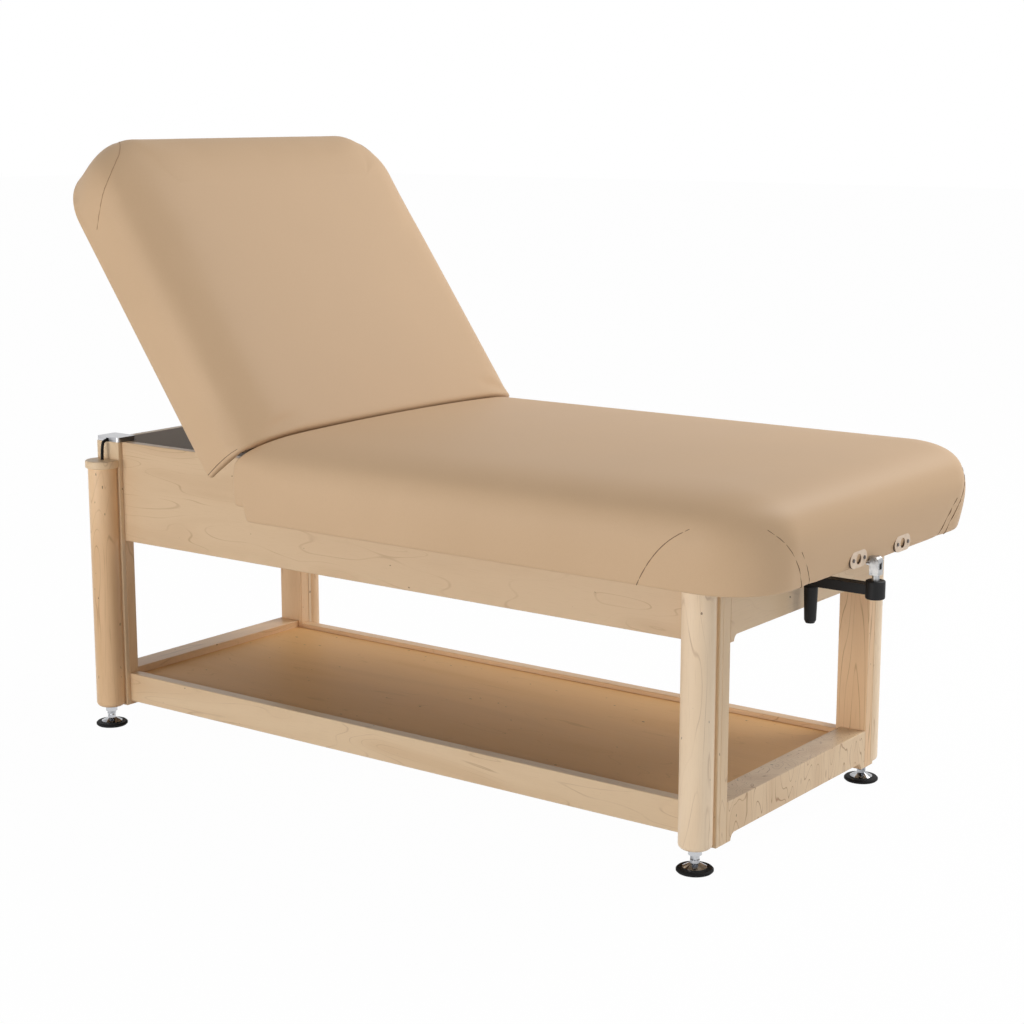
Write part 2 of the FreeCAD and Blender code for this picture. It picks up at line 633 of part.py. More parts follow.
# Aluminium covers over the hoses on the post tops, with a channel underneath, and their screws.
covers = []
screws = []
for corner, sx, sy in CORNERS:
    cover_x = span(sx, "frame_length / 2 - cover_length", "frame_length / 2")
    cover_y = span(sy, "frame_width / 2 + cover_overhang - cover_width", "frame_width / 2 + cover_overhang")
    owner = body("cover_" + corner)
    slab = extrude(owner, "XY", ("box_top", "box_top + cover_thick"), [rectangle(cover_x, cover_y)])
    ease(owner, slab, "cover_round", "Fillet", upright)
    channel_x = ("%d * %s - hose_radius - hose_gap" % (sx, AXIS_X),
                 "%d * %s + hose_radius + hose_gap" % (sx, AXIS_X))
    channel_y = span(sy, HOSE_DROP + " - hose_radius - hose_gap", "frame_width / 2 + cover_overhang")
    extrude(owner, "XY", ("box_top", "box_top + 2 * hose_radius + 2 * hose_gap"),
            [rectangle(channel_x, channel_y)], cut=True)
    for near, far in (("cover_screw_edge", "cover_screw_edge"),
                      ("cover_length - cover_screw_edge", "cover_screw_edge"),
                      ("cover_length - cover_screw_edge", "cover_width - cover_screw_edge")):
        spot = ("%d * (frame_length / 2 - (%s))" % (sx, near),
                "%d * (frame_width / 2 + cover_overhang - (%s))" % (sy, far))
        extrude(owner, "XY", ("box_top + cover_thick - screw_height", "box_top + cover_thick"),
                [ring(spot, "screw_radius")], cut=True)
        screws.append(rod("cover_screw_" + corner, "screw_radius", "screw_height", *spot,
                          "box_top + cover_thick - screw_height"))
    place(owner)
    covers.append(owner)
group("hose_covers", covers)

# Pump on the inside of the foot apron; its shaft reaches through the apron to the crank's knuckle.
pump = body("pump_housing")
PUMP_X = ("frame_length / 2 - apron_thick - pump_length", "frame_length / 2 - apron_thick")
block = extrude(pump, "XY", ("shaft_z - pump_height / 2", "shaft_z + pump_height / 2"),
                [rectangle(PUMP_X, ("shaft_y - pump_width / 2", "shaft_y + pump_width / 2"))])
ease(pump, block, "pump_round", "Fillet",
     lambda e: abs(e.BoundBox.XMax - e.BoundBox.XMin - size("pump_length")) < 1e-6)
extrude(pump, "YZ", ("frame_length / 2 - apron_thick - pump_length / 2", "frame_length / 2 - apron_thick"),
        [ring(("shaft_y", "shaft_z"), "shaft_radius + running_gap")], cut=True)
place(pump)
node(pump, "pump_housing")

shaft = body("pump_shaft")
extrude(shaft, "YZ", ("frame_length / 2 - apron_thick - pump_length / 2", PIN_X + " - eye_radius"),
        [ring(("shaft_y", "shaft_z"), "shaft_radius")])
extrude(shaft, "XZ", ("shaft_y - eye_thick / 2", "shaft_y + eye_thick / 2"),
        [rectangle((PIN_X + " - 2 * eye_radius", PIN_X), ("shaft_z - eye_radius", "shaft_z + eye_radius"))])
extrude(shaft, "XZ", ("shaft_y - eye_thick / 2", "shaft_y + eye_thick / 2"),
        [ring((PIN_X, "shaft_z"), "eye_radius")])
extrude(shaft, "XZ", ("shaft_y - eye_thick / 2", "shaft_y + eye_thick / 2"),
        [ring((PIN_X, "shaft_z"), "pin_radius")], cut=True)
place(shaft)
node(shaft, "pump_shaft")

FORK_HALF = "(eye_thick / 2 + ear_gap + ear_thick)"
node(rod("knuckle_pin", "pin_radius", "2 * %s + 2 * pin_head" % FORK_HALF, PIN_X,
         "shaft_y + %s + pin_head" % FORK_HALF, "shaft_z", ALONG_Y, "90"), "knuckle_pin")

# Crank fork hanging from the pin, with a shank that the hub turns on.
fork = body("crank_fork")
FORK_Y = ("-" + FORK_HALF, FORK_HALF)
extrude(fork, "XZ", FORK_Y, [rectangle(both("eye_radius"), ("-ear_root", "0"))])
extrude(fork, "XZ", FORK_Y, [ring(("0", "0"), "eye_radius")])
extrude(fork, "XZ", both("eye_thick / 2 + ear_gap"),
        [rectangle(both("2 * eye_radius"), ("-slot_root", "2 * eye_radius"))], cut=True)
extrude(fork, "XZ", FORK_Y, [ring(("0", "0"), "pin_radius + running_gap")], cut=True)
extrude(fork, "XY", ("-(hub_drop + hub_height - hub_floor)", "-ear_root"),
        [ring(("0", "0"), "shaft_radius")])
place(fork, PIN_X, "shaft_y", "shaft_z")
node(fork, "crank_fork")

# Crank arm with its hub, and the grip on its spindle.
HUB_BOTTOM = "-(hub_drop + hub_height)"
ARM_TOP = "-(hub_drop + hub_height / 2 - arm_thick / 2)"
ARM_BOTTOM = "-(hub_drop + hub_height / 2 + arm_thick / 2)"
arm = body("crank_arm")
hub = extrude(arm, "XY", (HUB_BOTTOM, "-hub_drop"), [ring(("0", "0"), "hub_radius")])
ease(arm, hub, "cap_ease", "Fillet")
extrude(arm, "XY", (ARM_BOTTOM, ARM_TOP),
        [outline([("0", "-arm_root_width / 2"), ("0", "arm_root_width / 2"),
                  ("-arm_length", "arm_tip_width / 2"), ("-arm_length", "-arm_tip_width / 2")])])
extrude(arm, "XY", (ARM_BOTTOM, ARM_TOP), [ring(("-arm_length", "0"), "arm_tip_width / 2")])
extrude(arm, "XY", (HUB_BOTTOM + " + hub_floor", "-hub_drop"),
        [ring(("0", "0"), "shaft_radius + running_gap")], cut=True)
extrude(arm, "XY", (ARM_BOTTOM + " - spindle_length", ARM_BOTTOM),
        [ring(("-arm_length", "0"), "spindle_radius")])
place(arm, PIN_X, "shaft_y", "shaft_z")
node(arm, "crank_arm")

grip = body("crank_grip")
GRIP_TOP = "-(hub_height / 2 + hub_drop + arm_thick / 2 + grip_gap)"
GRIP_BOTTOM = GRIP_TOP + " - grip_length"
BORE_END = GRIP_TOP + " - spindle_length - spindle_gap"
revolve(grip, [("spindle_radius + running_gap", GRIP_TOP), ("grip_top_radius - grip_edge", GRIP_TOP),
               ("grip_top_radius", GRIP_TOP + " - grip_shoulder"),
               ("grip_radius", GRIP_BOTTOM + " + grip_end"), ("grip_radius - grip_shoulder", GRIP_BOTTOM),
               ("0", GRIP_BOTTOM), ("0", BORE_END), ("spindle_radius + running_gap", BORE_END)])
place(grip, PIN_X + " - arm_length", "shaft_y", "shaft_z")
node(grip, "crank_grip")


def rounded_outline(x0, x1, half, radius_low, radius_high, z):
    """A level outline with its own corner radius at each end, from lines and quarter arcs."""
    corners = [(x1, -half, radius_high, -90), (x1, half, radius_high, 0), (x0, half, radius_low, 90),
               (x0, -half, radius_low, 180)]
    arcs = []
    for x, y, radius, start in corners:
        centre_x = x - math.copysign(radius, x - (x0 + x1) / 2)
        centre = FreeCAD.Vector(centre_x, y - math.copysign(radius, y), z)
        spots = []
        for step in (0, 45, 90):
            turn = math.radians(start + step)
            spots.append(centre + FreeCAD.Vector(math.cos(turn), math.sin(turn), 0) * radius)
        arcs.append(Part.Arc(*spots))
    edges = []
    for arc, after in zip(arcs, arcs[1:] + arcs[:1]):
        edges.append(arc.toShape())
        edges.append(Part.LineSegment(arc.EndPoint, after.StartPoint).toShape())
    return Part.Wire(edges)


def cushion(x0, x1, bottom, top, low_corner, high_corner):
    """A crowned pad with rounded shoulders and slightly swollen sides."""
    half = half_top
    crown_reach = min(half, (x1 - x0) / 2)
    shoulder = size("shoulder")
    bulge = size("side_bulge")
    least = size("least_corner")
    edge_top = top - size("crown")
    swell = bottom + size("swell_share") * (edge_top - bottom)
    levels = [(0, bottom), (-bulge, swell)]
    for degrees in (30, 55, 75, 90):
        turn = math.radians(degrees)
        inset = -bulge + (shoulder + bulge) * (1 - math.cos(turn))
        levels.append((inset, swell + (edge_top - swell) * math.sin(turn)))
    for share in (0.35, 0.7):
        rise = size("crown") * (1 - (1 - share) ** 2)
        levels.append((shoulder + share * (crown_reach - shoulder), edge_top + rise))
    wires = []
    for inset, z in levels:
        radii = [max(corner - inset, least) for corner in (low_corner, high_corner)]
        wires.append(rounded_outline(x0 + inset, x1 - inset, half - inset, *radii, z))
    return Part.makeLoft(wires, True, True)


def wedge(points, half):
    """A prism across the table through corners in the XZ plane."""
    face = Part.Face(Part.makePolygon([FreeCAD.Vector(x, -half, z) for x, z in points + points[:1]]))
    return face.extrude(FreeCAD.Vector(0, 2 * half, 0))


# Seat section: deck, skirts and crowned cushion.
SEAT_DECK_X = ("hinge_x + seat_deck_end", FOOT_INNER)
seat_deck = body("seat_deck")
slab = extrude(seat_deck, "XY", (SEAT_DECK_BOTTOM, SEAT_DECK_TOP), [rectangle(SEAT_DECK_X, both(SKIRT_IN))])
ease(seat_deck, slab, "corner_radius - skirt_thick", "Fillet",
     lambda e: upright(e) and e.BoundBox.XMin > 0)
place(seat_deck)
node(seat_deck, "seat_deck")

BEND_X = FOOT_END + " - corner_radius"
for side, sy in SIDES:
    owner = body("seat_skirt_" + side)
    extrude(owner, "XZ", span(sy, SKIRT_IN, HALF_TOP),
            [outline([(SEAM_X, "skirt_bottom + notch_height"), (NOTCH_X, "skirt_bottom + notch_height"),
                      (NOTCH_X, "skirt_bottom"), (BEND_X, "skirt_bottom"), (BEND_X, SEAT_DECK_TOP),
                      (SEAM_X, SEAT_DECK_TOP)])])
    place(owner)
    node(owner, "seat_skirt_" + side)

foot_skirt = body("seat_skirt_foot")
bow = extrude(foot_skirt, "XY", ("skirt_bottom", SEAT_DECK_TOP),
              [outline([(BEND_X, "-" + HALF_TOP), (FOOT_END, "-" + HALF_TOP), (FOOT_END, HALF_TOP),
                        (BEND_X, HALF_TOP), (BEND_X, SKIRT_IN), (FOOT_INNER, SKIRT_IN),
                        (FOOT_INNER, "-" + SKIRT_IN), (BEND_X, "-" + SKIRT_IN)])])
outer = ease(foot_skirt, bow, "corner_radius - bend_margin", "Fillet",
             lambda edge: upright(edge) and abs(edge.BoundBox.XMin - foot_end) < 1e-6)
inner_x = foot_end - size("skirt_thick")
ease(foot_skirt, outer, "corner_radius - skirt_thick - bend_margin", "Fillet",
     lambda edge: upright(edge) and abs(edge.BoundBox.XMin - inner_x) < 1e-6)
SKIRT_X = (FOOT_INNER, FOOT_END)
extrude(foot_skirt, "YZ", SKIRT_X,
        [rectangle(("shaft_y - shaft_notch", "shaft_y + shaft_notch"),
                   ("skirt_bottom", "shaft_z + shaft_notch"))], cut=True)
for sy in (-1, 1):
    extrude(foot_skirt, "YZ", SKIRT_X,
            [ring(("%d * socket_spacing / 2" % sy, "socket_z"), "socket_radius + socket_wall")], cut=True)
place(foot_skirt)
node(foot_skirt, "seat_skirt_foot")

angle = math.radians(size("backrest_angle"))
along = FreeCAD.Vector(-math.cos(angle), 0, math.sin(angle))
outward = FreeCAD.Vector(math.sin(angle), 0, math.cos(angle))
hinge = FreeCAD.Vector(size("hinge_x"), 0, size("hinge_z"))
lean = math.radians(size("end_lean"))
flat_bottom = size("box_top") + size("backrest_lift") - size("hinge_z")
flat_deck_top = flat_bottom + size("deck_thick")
end_offset = size("seam_set_back") + size("seam_gap")
end_direction = outward * math.cos(lean) + along * math.sin(lean)
squeeze = size("squeeze_gap")
end_foot = hinge + along * (end_offset - squeeze) + outward * (flat_deck_top + squeeze)
clear = 2 * half_top
end_head = end_foot + end_direction * clear
deck_foot = end_foot - along * clear
seat_top_z = size("box_top") + size("cover_thick") + size("deck_thick")
seat_solid = cushion(seam_x, foot_end, seat_top_z, size("cushion_top"),
                     size("hinge_corner"), size("corner_radius"))
far_x = end_head.x - 3 * clear
raised = wedge([(deck_foot.x, deck_foot.z), (end_foot.x, end_foot.z), (end_head.x, end_head.z),
                (far_x, end_head.z), (far_x, deck_foot.z)], clear)
node(feature("seat_cushion", seat_solid.cut(raised)), "seat_cushion")


def hinged(thing):
    """Place a sub-part that is drawn flat about the hinge axis, with the backrest raised."""
    place(thing, "hinge_x", "0", "hinge_z", (0, 1, 0), "backrest_angle")
    return thing


# Backrest section, drawn flat with the hinge axis as its origin and then raised.
FLAT_BOTTOM = "(box_top + backrest_lift - hinge_z)"
FLAT_TOP = "(box_top + backrest_lift - hinge_z + deck_thick)"
BACK_HEAD = "-backrest_reach"
BACK_INNER = "(-backrest_reach + skirt_thick)"
BACK_FOOT = "(-seam_set_back - seam_gap)"
BACK_BEND = "(-backrest_reach + corner_radius)"
backrest_deck = body("backrest_deck")
slab = extrude(backrest_deck, "XY", (FLAT_BOTTOM, FLAT_TOP),
               [rectangle((BACK_HEAD + " + skirt_thick", "-deck_end"), both(SKIRT_IN))])
ease(backrest_deck, slab, "corner_radius - skirt_thick", "Fillet",
     lambda e: upright(e) and e.BoundBox.XMin < -size("backrest_reach") / 2)
extrude(backrest_deck, "XY", (FLAT_BOTTOM, FLAT_TOP),
        [rectangle((BACK_FOOT, "0"), span(1, "frame_width / 2 + cover_overhang", HALF_TOP))], cut=True)
extrude(backrest_deck, "XY", (FLAT_BOTTOM, FLAT_TOP),
        [rectangle((BACK_FOOT, "0"), span(-1, "frame_width / 2 + cover_overhang", HALF_TOP))], cut=True)
node(hinged(backrest_deck), "backrest_deck")

SKIRT_LOW = "(skirt_bottom - hinge_z)"
for side, sy in SIDES:
    owner = body("backrest_skirt_" + side)
    extrude(owner, "XZ", span(sy, SKIRT_IN, HALF_TOP),
            [rectangle((BACK_BEND, BACK_FOOT), (SKIRT_LOW, FLAT_TOP))])
    node(hinged(owner), "backrest_skirt_" + side)
head_skirt = body("backrest_skirt_head")
bow = extrude(head_skirt, "XY", (SKIRT_LOW, FLAT_TOP),
              [outline([(BACK_BEND, "-" + HALF_TOP), (BACK_BEND, "-" + SKIRT_IN),
                        (BACK_INNER, "-" + SKIRT_IN), (BACK_INNER, SKIRT_IN), (BACK_BEND, SKIRT_IN),
                        (BACK_BEND, HALF_TOP), (BACK_HEAD, HALF_TOP), (BACK_HEAD, "-" + HALF_TOP)])])
outer = ease(head_skirt, bow, "corner_radius - bend_margin", "Fillet",
             lambda edge: upright(edge) and abs(edge.BoundBox.XMin + size("backrest_reach")) < 1e-6)
inner_reach = size("backrest_reach") - size("skirt_thick")
ease(head_skirt, outer, "corner_radius - skirt_thick - bend_margin", "Fillet",
     lambda edge: upright(edge) and abs(edge.BoundBox.XMin + inner_reach) < 1e-6)
node(hinged(head_skirt), "backrest_skirt_head")

back_top = size("cushion_top") - size("hinge_z")
back_solid = cushion(-size("backrest_reach"), -end_offset, flat_deck_top, back_top,
                     size("corner_radius"), size("hinge_corner"))
leaning = wedge([(-end_offset, flat_deck_top), (-end_offset - clear * math.tan(lean), flat_deck_top + clear),
                 (clear, flat_deck_top + clear), (clear, flat_deck_top)], clear)
backrest_cushion = doc.addObject("Part::Feature", "backrest_cushion")
backrest_cushion.Shape = back_solid.cut(leaning)
node(hinged(backrest_cushion), "backrest_cushion")

# Three butt hinges: fixed leaves on the cross board, moving leaves under the backrest deck, and pins.
HINGE_SPACING = "(frame_width / 2 - apron_thick - hinge_margin - leaf_length / 2)"
fixed_leaves = []
moving_leaves = []
hinge_pins = []
for number in (-1, 0, 1):
    middle_y = "%d * %s" % (number, HINGE_SPACING)
    owner = body("fixed_leaf")
    third = "leaf_length / 6"
    inner = ("%s - %s + knuckle_gap" % (middle_y, third), "%s + %s - knuckle_gap" % (middle_y, third))
    whole = ("%s - leaf_length / 2" % middle_y, "%s + leaf_length / 2" % middle_y)
    extrude(owner, "XZ", inner, [ring(("0", "0"), "knuckle_radius")])
    leaf_x = ("knuckle_radius - leaf_thick", "knuckle_radius")
    extrude(owner, "XZ", inner, [rectangle(leaf_x, ("-2 * knuckle_radius", "0"))])
    extrude(owner, "XZ", whole, [rectangle(leaf_x, ("-leaf_width", "-1.5 * knuckle_radius"))])
    extrude(owner, "XZ", inner, [ring(("0", "0"), "hinge_pin_radius")], cut=True)
    place(owner, "hinge_x", "0", "hinge_z")
    fixed_leaves.append(owner)
    owner = body("moving_leaf")
    lugs = [(whole[0], "%s - %s" % (middle_y, third)), ("%s + %s" % (middle_y, third), whole[1])]
    leaf_z = (FLAT_BOTTOM + " - leaf_thick", FLAT_BOTTOM)
    extrude(owner, "XZ", whole, [rectangle(("-leaf_width", "-1.5 * knuckle_radius"), leaf_z)])
    for lug in lugs:
        extrude(owner, "XZ", lug, [rectangle(("-2 * knuckle_radius", "-knuckle_radius / 2"), leaf_z)])
        extrude(owner, "XZ", lug, [ring(("0", "0"), "knuckle_radius")])
    for lug in lugs:
        extrude(owner, "XZ", lug, [ring(("0", "0"), "hinge_pin_radius + running_gap")], cut=True)
    moving_leaves.append(hinged(owner))
    hinge_pins.append(rod("hinge_pin", "hinge_pin_radius", "leaf_length", "hinge_x",
                          "%s + leaf_length / 2" % middle_y, "hinge_z", ALONG_Y, "90"))
group("hinge_fixed_leaves", fixed_leaves)
group("hinge_moving_leaves", moving_leaves)
group("hinge_pins", hinge_pins)

# Gas spring between the cross board and the backrest deck, and its brackets.
low_pin = hinge + FreeCAD.Vector(-size("spring_set_back"), 0, -size("spring_drop"))
high_pin = hinge + along * size("spring_reach") - outward * size("spring_pin_drop")
spring_axis = (high_pin - low_pin).normalize()
spring_span = (high_pin - low_pin).Length
eye_half = size("spring_eye_thick") / 2


def across(radius, half, centre):
    """A round bar across the table, centred on a point."""
    return Part.makeCylinder(radius, 2 * half, centre - FreeCAD.Vector(0, half, 0), FreeCAD.Vector(0, 1, 0))


eye_radius = size("spring_eye_radius")
barrel_start = low_pin + spring_axis * size("eye_root")
barrel_length = size("spring_length") - size("eye_root")
barrel = Part.makeCylinder(size("spring_radius"), barrel_length, barrel_start, spring_axis)
room = across(size("rod_eye_radius"), 2 * size("spring_radius"), low_pin)
barrel = barrel.cut(room.cut(across(size("rod_eye_radius"), eye_half, low_pin)))
barrel = barrel.fuse(across(eye_radius, eye_half, low_pin))
barrel = barrel.cut(across(size("spring_pin_radius") + size("running_gap"), eye_half, low_pin))
bore_start = low_pin + spring_axis * 2 * eye_radius
bore = Part.makeCylinder(size("rod_radius") + size("running_gap"), spring_span, bore_start, spring_axis)
node(feature("gas_spring_cylinder", barrel.cut(bore).removeSplitter()), "gas_spring_cylinder")
rod_start = low_pin + spring_axis * (size("spring_length") - size("rod_tail"))
rod_length = (high_pin - rod_start).Length - (size("rod_eye_radius") + size("rod_eye_bore")) / 2
piston = Part.makeCylinder(size("rod_radius"), rod_length, rod_start, spring_axis)
piston = piston.fuse(across(size("rod_eye_radius"), eye_half, high_pin))
piston = piston.cut(across(size("rod_eye_bore"), 2 * eye_half, high_pin))
node(feature("gas_spring_rod", piston.removeSplitter()), "gas_spring_rod")


def bracket(centre, plate_centre, normal):
    """Two ears on a flange, with a pin through them; the flange lies on a face that the normal leaves."""
    side = FreeCAD.Vector(0, 1, 0)
    run = normal.cross(side)
    half = size("bracket_width") / 2
    thick = size("bracket_thick")
    inner = eye_half + size("bracket_gap")
    tip = centre + normal * eye_radius
    base = [plate_centre + run * a * half + side * b * half for a, b in ((-1, -1), (1, -1), (1, 1), (-1, 1))]
    shape = Part.Face(Part.makePolygon(base + base[:1])).extrude(normal * thick)
    for level in (-inner - thick, inner):
        corners = [plate_centre - run * half, plate_centre + run * half, tip + run * eye_radius,
                   tip - run * eye_radius]
        corners = [corner + side * level for corner in corners]
        shape = shape.fuse(Part.Face(Part.makePolygon(corners + corners[:1])).extrude(side * thick))
    return shape.fuse(across(size("spring_pin_radius"), inner + thick, centre)).removeSplitter()


rail_face = FreeCAD.Vector(size("hinge_x") + size("knuckle_radius"), 0, low_pin.z)
base_bracket = bracket(low_pin, rail_face, FreeCAD.Vector(-1, 0, 0))
node(feature("spring_base_bracket", base_bracket), "spring_base_bracket")
deck_face = hinge + along * size("spring_reach") + outward * flat_bottom
node(feature("spring_top_bracket", bracket(high_pin, deck_face, outward * -1)), "spring_top_bracket")

# Release lever under the head end of the backrest.
LEVER_X = "(-backrest_reach + skirt_thick + lever_set_in)"
LEVER_Z = "(%s - lever_drop)" % FLAT_BOTTOM
lever = body("release_lever")
LEVER_Y = both("lever_width / 2")
PADDLE_Z = (LEVER_Z + " - lever_thick / 2", LEVER_Z + " + lever_thick / 2")
extrude(lever, "XZ", LEVER_Y, [rectangle((LEVER_X + " - lever_length", LEVER_X), PADDLE_Z)])
extrude(lever, "XZ", LEVER_Y, [ring((LEVER_X, LEVER_Z), "lever_hub")])
extrude(lever, "XZ", LEVER_Y, [ring((LEVER_X, LEVER_Z), "lever_pin + running_gap")], cut=True)
node(hinged(lever), "release_lever")
lever_bracket = body("lever_bracket")
BRACKET_X = (LEVER_X + " - lever_hub", LEVER_X + " + lever_hub")
BRACKET_Y = both("lever_width / 2 + ear_gap + lever_ear")
extrude(lever_bracket, "XZ", BRACKET_Y, [rectangle(BRACKET_X, (FLAT_BOTTOM + " - lever_ear", FLAT_BOTTOM))])
for sy in (-1, 1):
    ear_y = span(sy, "lever_width / 2 + ear_gap", "lever_width / 2 + ear_gap + lever_ear")
    extrude(lever_bracket, "XZ", ear_y, [rectangle(BRACKET_X, (LEVER_Z + " - lever_hub", FLAT_BOTTOM))])
extrude(lever_bracket, "XZ", BRACKET_Y, [ring((LEVER_X, LEVER_Z), "lever_pin")])
node(hinged(lever_bracket), "lever_bracket")

# Accessory sockets in the foot skirt: an oval plate with a tube behind it, and two screws each.
sockets = []
RIM = "(socket_flange / 2 - socket_height / 2)"
PLATE_X = (FOOT_END, FOOT_END + " + socket_plate")
SOCKET_BACK = FOOT_END + " + socket_plate - socket_depth"
for sy in (-1, 1):
    socket = body("socket")
    extrude(socket, "YZ", PLATE_X, [rectangle(both(RIM), both("socket_height / 2"))])
    for end in (-1, 1):
        extrude(socket, "YZ", PLATE_X, [ring(("%d * %s" % (end, RIM), "0"), "socket_height / 2")])
    extrude(socket, "YZ", (SOCKET_BACK, FOOT_END),
            [ring(("0", "0"), "socket_radius + socket_wall")])
    extrude(socket, "YZ", (SOCKET_BACK, PLATE_X[1]),
            [ring(("0", "0"), "socket_radius")], cut=True)
    place(socket, "0", "%d * socket_spacing / 2" % sy, "socket_z")
    sockets.append(socket)
    for end in (-1, 1):
        screw_y = "%d * socket_spacing / 2 + %d * socket_screw" % (sy, end)
        screws.append(rod("socket_screw", "screw_radius", "screw_height", PLATE_X[1], screw_y, "socket_z",
                          ALONG_X, "90"))
group("accessory_sockets", sockets)
group("screws", screws)

doc.recompute()
faults = [thing.Label for thing in doc.Objects if "Invalid" in thing.State or "Error" in thing.State]
for thing in nodes:
    if thing.Shape.isNull() or not thing.Shape.isValid() or not thing.Shape.Solids:
        faults.append(thing.Label)
if faults:
    raise RuntimeError("failed sub-parts: " + ", ".join(faults))

os.makedirs("parts", exist_ok=True)
for thing in nodes:
    thing.Shape.exportStep("parts/%s.step" % thing.Label)
print(len(nodes), "sub-parts")
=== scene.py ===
"""Looks of the treatment table: upholstery, hoses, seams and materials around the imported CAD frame."""
import json
import math

import bmesh
import bpy
import numpy as np
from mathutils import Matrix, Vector
from mathutils.bvhtree import BVHTree


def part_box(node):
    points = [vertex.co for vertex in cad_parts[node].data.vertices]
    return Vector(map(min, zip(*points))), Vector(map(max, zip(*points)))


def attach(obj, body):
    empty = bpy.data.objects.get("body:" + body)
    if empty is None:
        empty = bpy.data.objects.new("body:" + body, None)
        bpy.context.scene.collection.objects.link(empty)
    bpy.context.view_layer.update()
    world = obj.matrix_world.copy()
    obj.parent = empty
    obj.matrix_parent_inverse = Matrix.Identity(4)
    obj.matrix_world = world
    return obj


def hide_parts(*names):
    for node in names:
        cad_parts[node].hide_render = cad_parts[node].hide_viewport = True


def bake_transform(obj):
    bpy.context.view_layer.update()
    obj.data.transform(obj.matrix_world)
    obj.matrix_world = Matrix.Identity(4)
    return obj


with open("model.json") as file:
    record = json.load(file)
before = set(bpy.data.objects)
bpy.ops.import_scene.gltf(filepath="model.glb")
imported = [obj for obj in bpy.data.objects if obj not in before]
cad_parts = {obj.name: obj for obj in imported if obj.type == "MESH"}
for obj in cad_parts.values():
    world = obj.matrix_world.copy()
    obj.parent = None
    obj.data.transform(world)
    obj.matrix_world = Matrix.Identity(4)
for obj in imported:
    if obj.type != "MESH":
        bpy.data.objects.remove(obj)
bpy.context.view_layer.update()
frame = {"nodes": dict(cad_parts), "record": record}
nodes = frame["nodes"]
scene = bpy.context.scene
MM = 0.001
TINY = 1e-9

# Sizes of the part that the upholstery follows, in millimetres from the middle of the wooden frame.
# MIDDLE is where the scene's origin stands, and REACH and the BACK sizes are measured from the hinge.
MIDDLE = 89.75
HALF_WIDTH = 448.0
FOOT_END = 960.0
HINGE = Vector((-223.0, 0.0, 652.0))
SEAM_X = HINGE.x - 37.0
NOTCH_X = HINGE.x - 6.0
SEAT_DECK_END = HINGE.x + 15.0
SKIRT_BOTTOM = 550.0
NOTCH_BOTTOM = 580.0
CORNER_RADIUS = 128.0
CUSHION_TOP = 724.0
DECK_TOP = 669.0
TILT = math.radians(54.7)
REACH = 790.0
BACK_END = 41.2
BACK_DECK_TOP = 18.0


def row(x, y, z):
    """A point given in millimetres from the middle of the wooden frame, in metres in the scene."""
    return Vector(((x - MIDDLE) * MM, y * MM, z * MM))


# Helpers for the procedural materials.
WHITE = (1.0, 1.0, 1.0)
BLACK = (0.0, 0.0, 0.0)
# Sockets of a colour mix node: its factor, its two colours and its result.
MIX_FACTOR, MIX_FIRST, MIX_SECOND, MIX_RESULT = 0, 6, 7, 2


def new_material(name):
    material = bpy.data.materials.new(name)
    material.use_nodes = True
    tree = material.node_tree
    return material, tree, tree.nodes["Principled BSDF"]


def add(tree, kind, **values):
    item = tree.nodes.new(kind)
    for key, value in values.items():
        setattr(item, key, value)
    return item


def texture_place(tree, scale=(1, 1, 1)):
    """Object coordinates, stretched. They run on from piece to piece, since all meshes share one frame."""
    coordinates = add(tree, "ShaderNodeTexCoord")
    mapping = add(tree, "ShaderNodeMapping")
    mapping.inputs["Scale"].default_value = scale
    tree.links.new(coordinates.outputs["Object"], mapping.inputs["Vector"])
    return mapping.outputs["Vector"]


def noise(tree, vector, scale, detail=4.0, roughness=0.55, distortion=0.0):
    item = add(tree, "ShaderNodeTexNoise")
    item.inputs["Scale"].default_value = scale
    item.inputs["Detail"].default_value = detail
    item.inputs["Roughness"].default_value = roughness
    item.inputs["Distortion"].default_value = distortion
    tree.links.new(vector, item.inputs["Vector"])
    return item.outputs["Fac"]


def ramp(tree, value, stops):
    item = add(tree, "ShaderNodeValToRGB")
    points = item.color_ramp.elements
    points[0].position, points[0].color = stops[0][0], (*stops[0][1], 1)
    points[1].position, points[1].color = stops[-1][0], (*stops[-1][1], 1)
    for position, colour in stops[1:-1]:
        points.new(position).color = (*colour, 1)
    tree.links.new(value, item.inputs["Fac"])
    return item.outputs["Color"]


def spread(tree, value, low, high):
    """A texture's 0 to 1 as a number from low to high."""
    item = add(tree, "ShaderNodeMapRange")
    item.inputs["To Min"].default_value = low
    item.inputs["To Max"].default_value = high
    tree.links.new(value, item.inputs["Value"])
    return item.outputs["Result"]


def calculate(tree, operation, first, second):
    """A math node on a socket and either a second socket or a number."""
    item = add(tree, "ShaderNodeMath", operation=operation)
    tree.links.new(first, item.inputs[0])
    if isinstance(second, bpy.types.NodeSocket):
        tree.links.new(second, item.inputs[1])
    else:
        item.inputs[1].default_value = second
    return item.outputs[0]


def mix(tree, factor, first, second, blend="MIX"):
    item = add(tree, "ShaderNodeMix", data_type="RGBA", blend_type=blend)
    for number, value in ((MIX_FACTOR, factor), (MIX_FIRST, first), (MIX_SECOND, second)):
        socket = item.inputs[number]
        if isinstance(value, bpy.types.NodeSocket):
            tree.links.new(value, socket)
        elif isinstance(value, (int, float)):
            socket.default_value = value
        else:
            socket.default_value = (*value, 1)
    return item.outputs[MIX_RESULT]


RELIEF_DEPTH = 0.0005


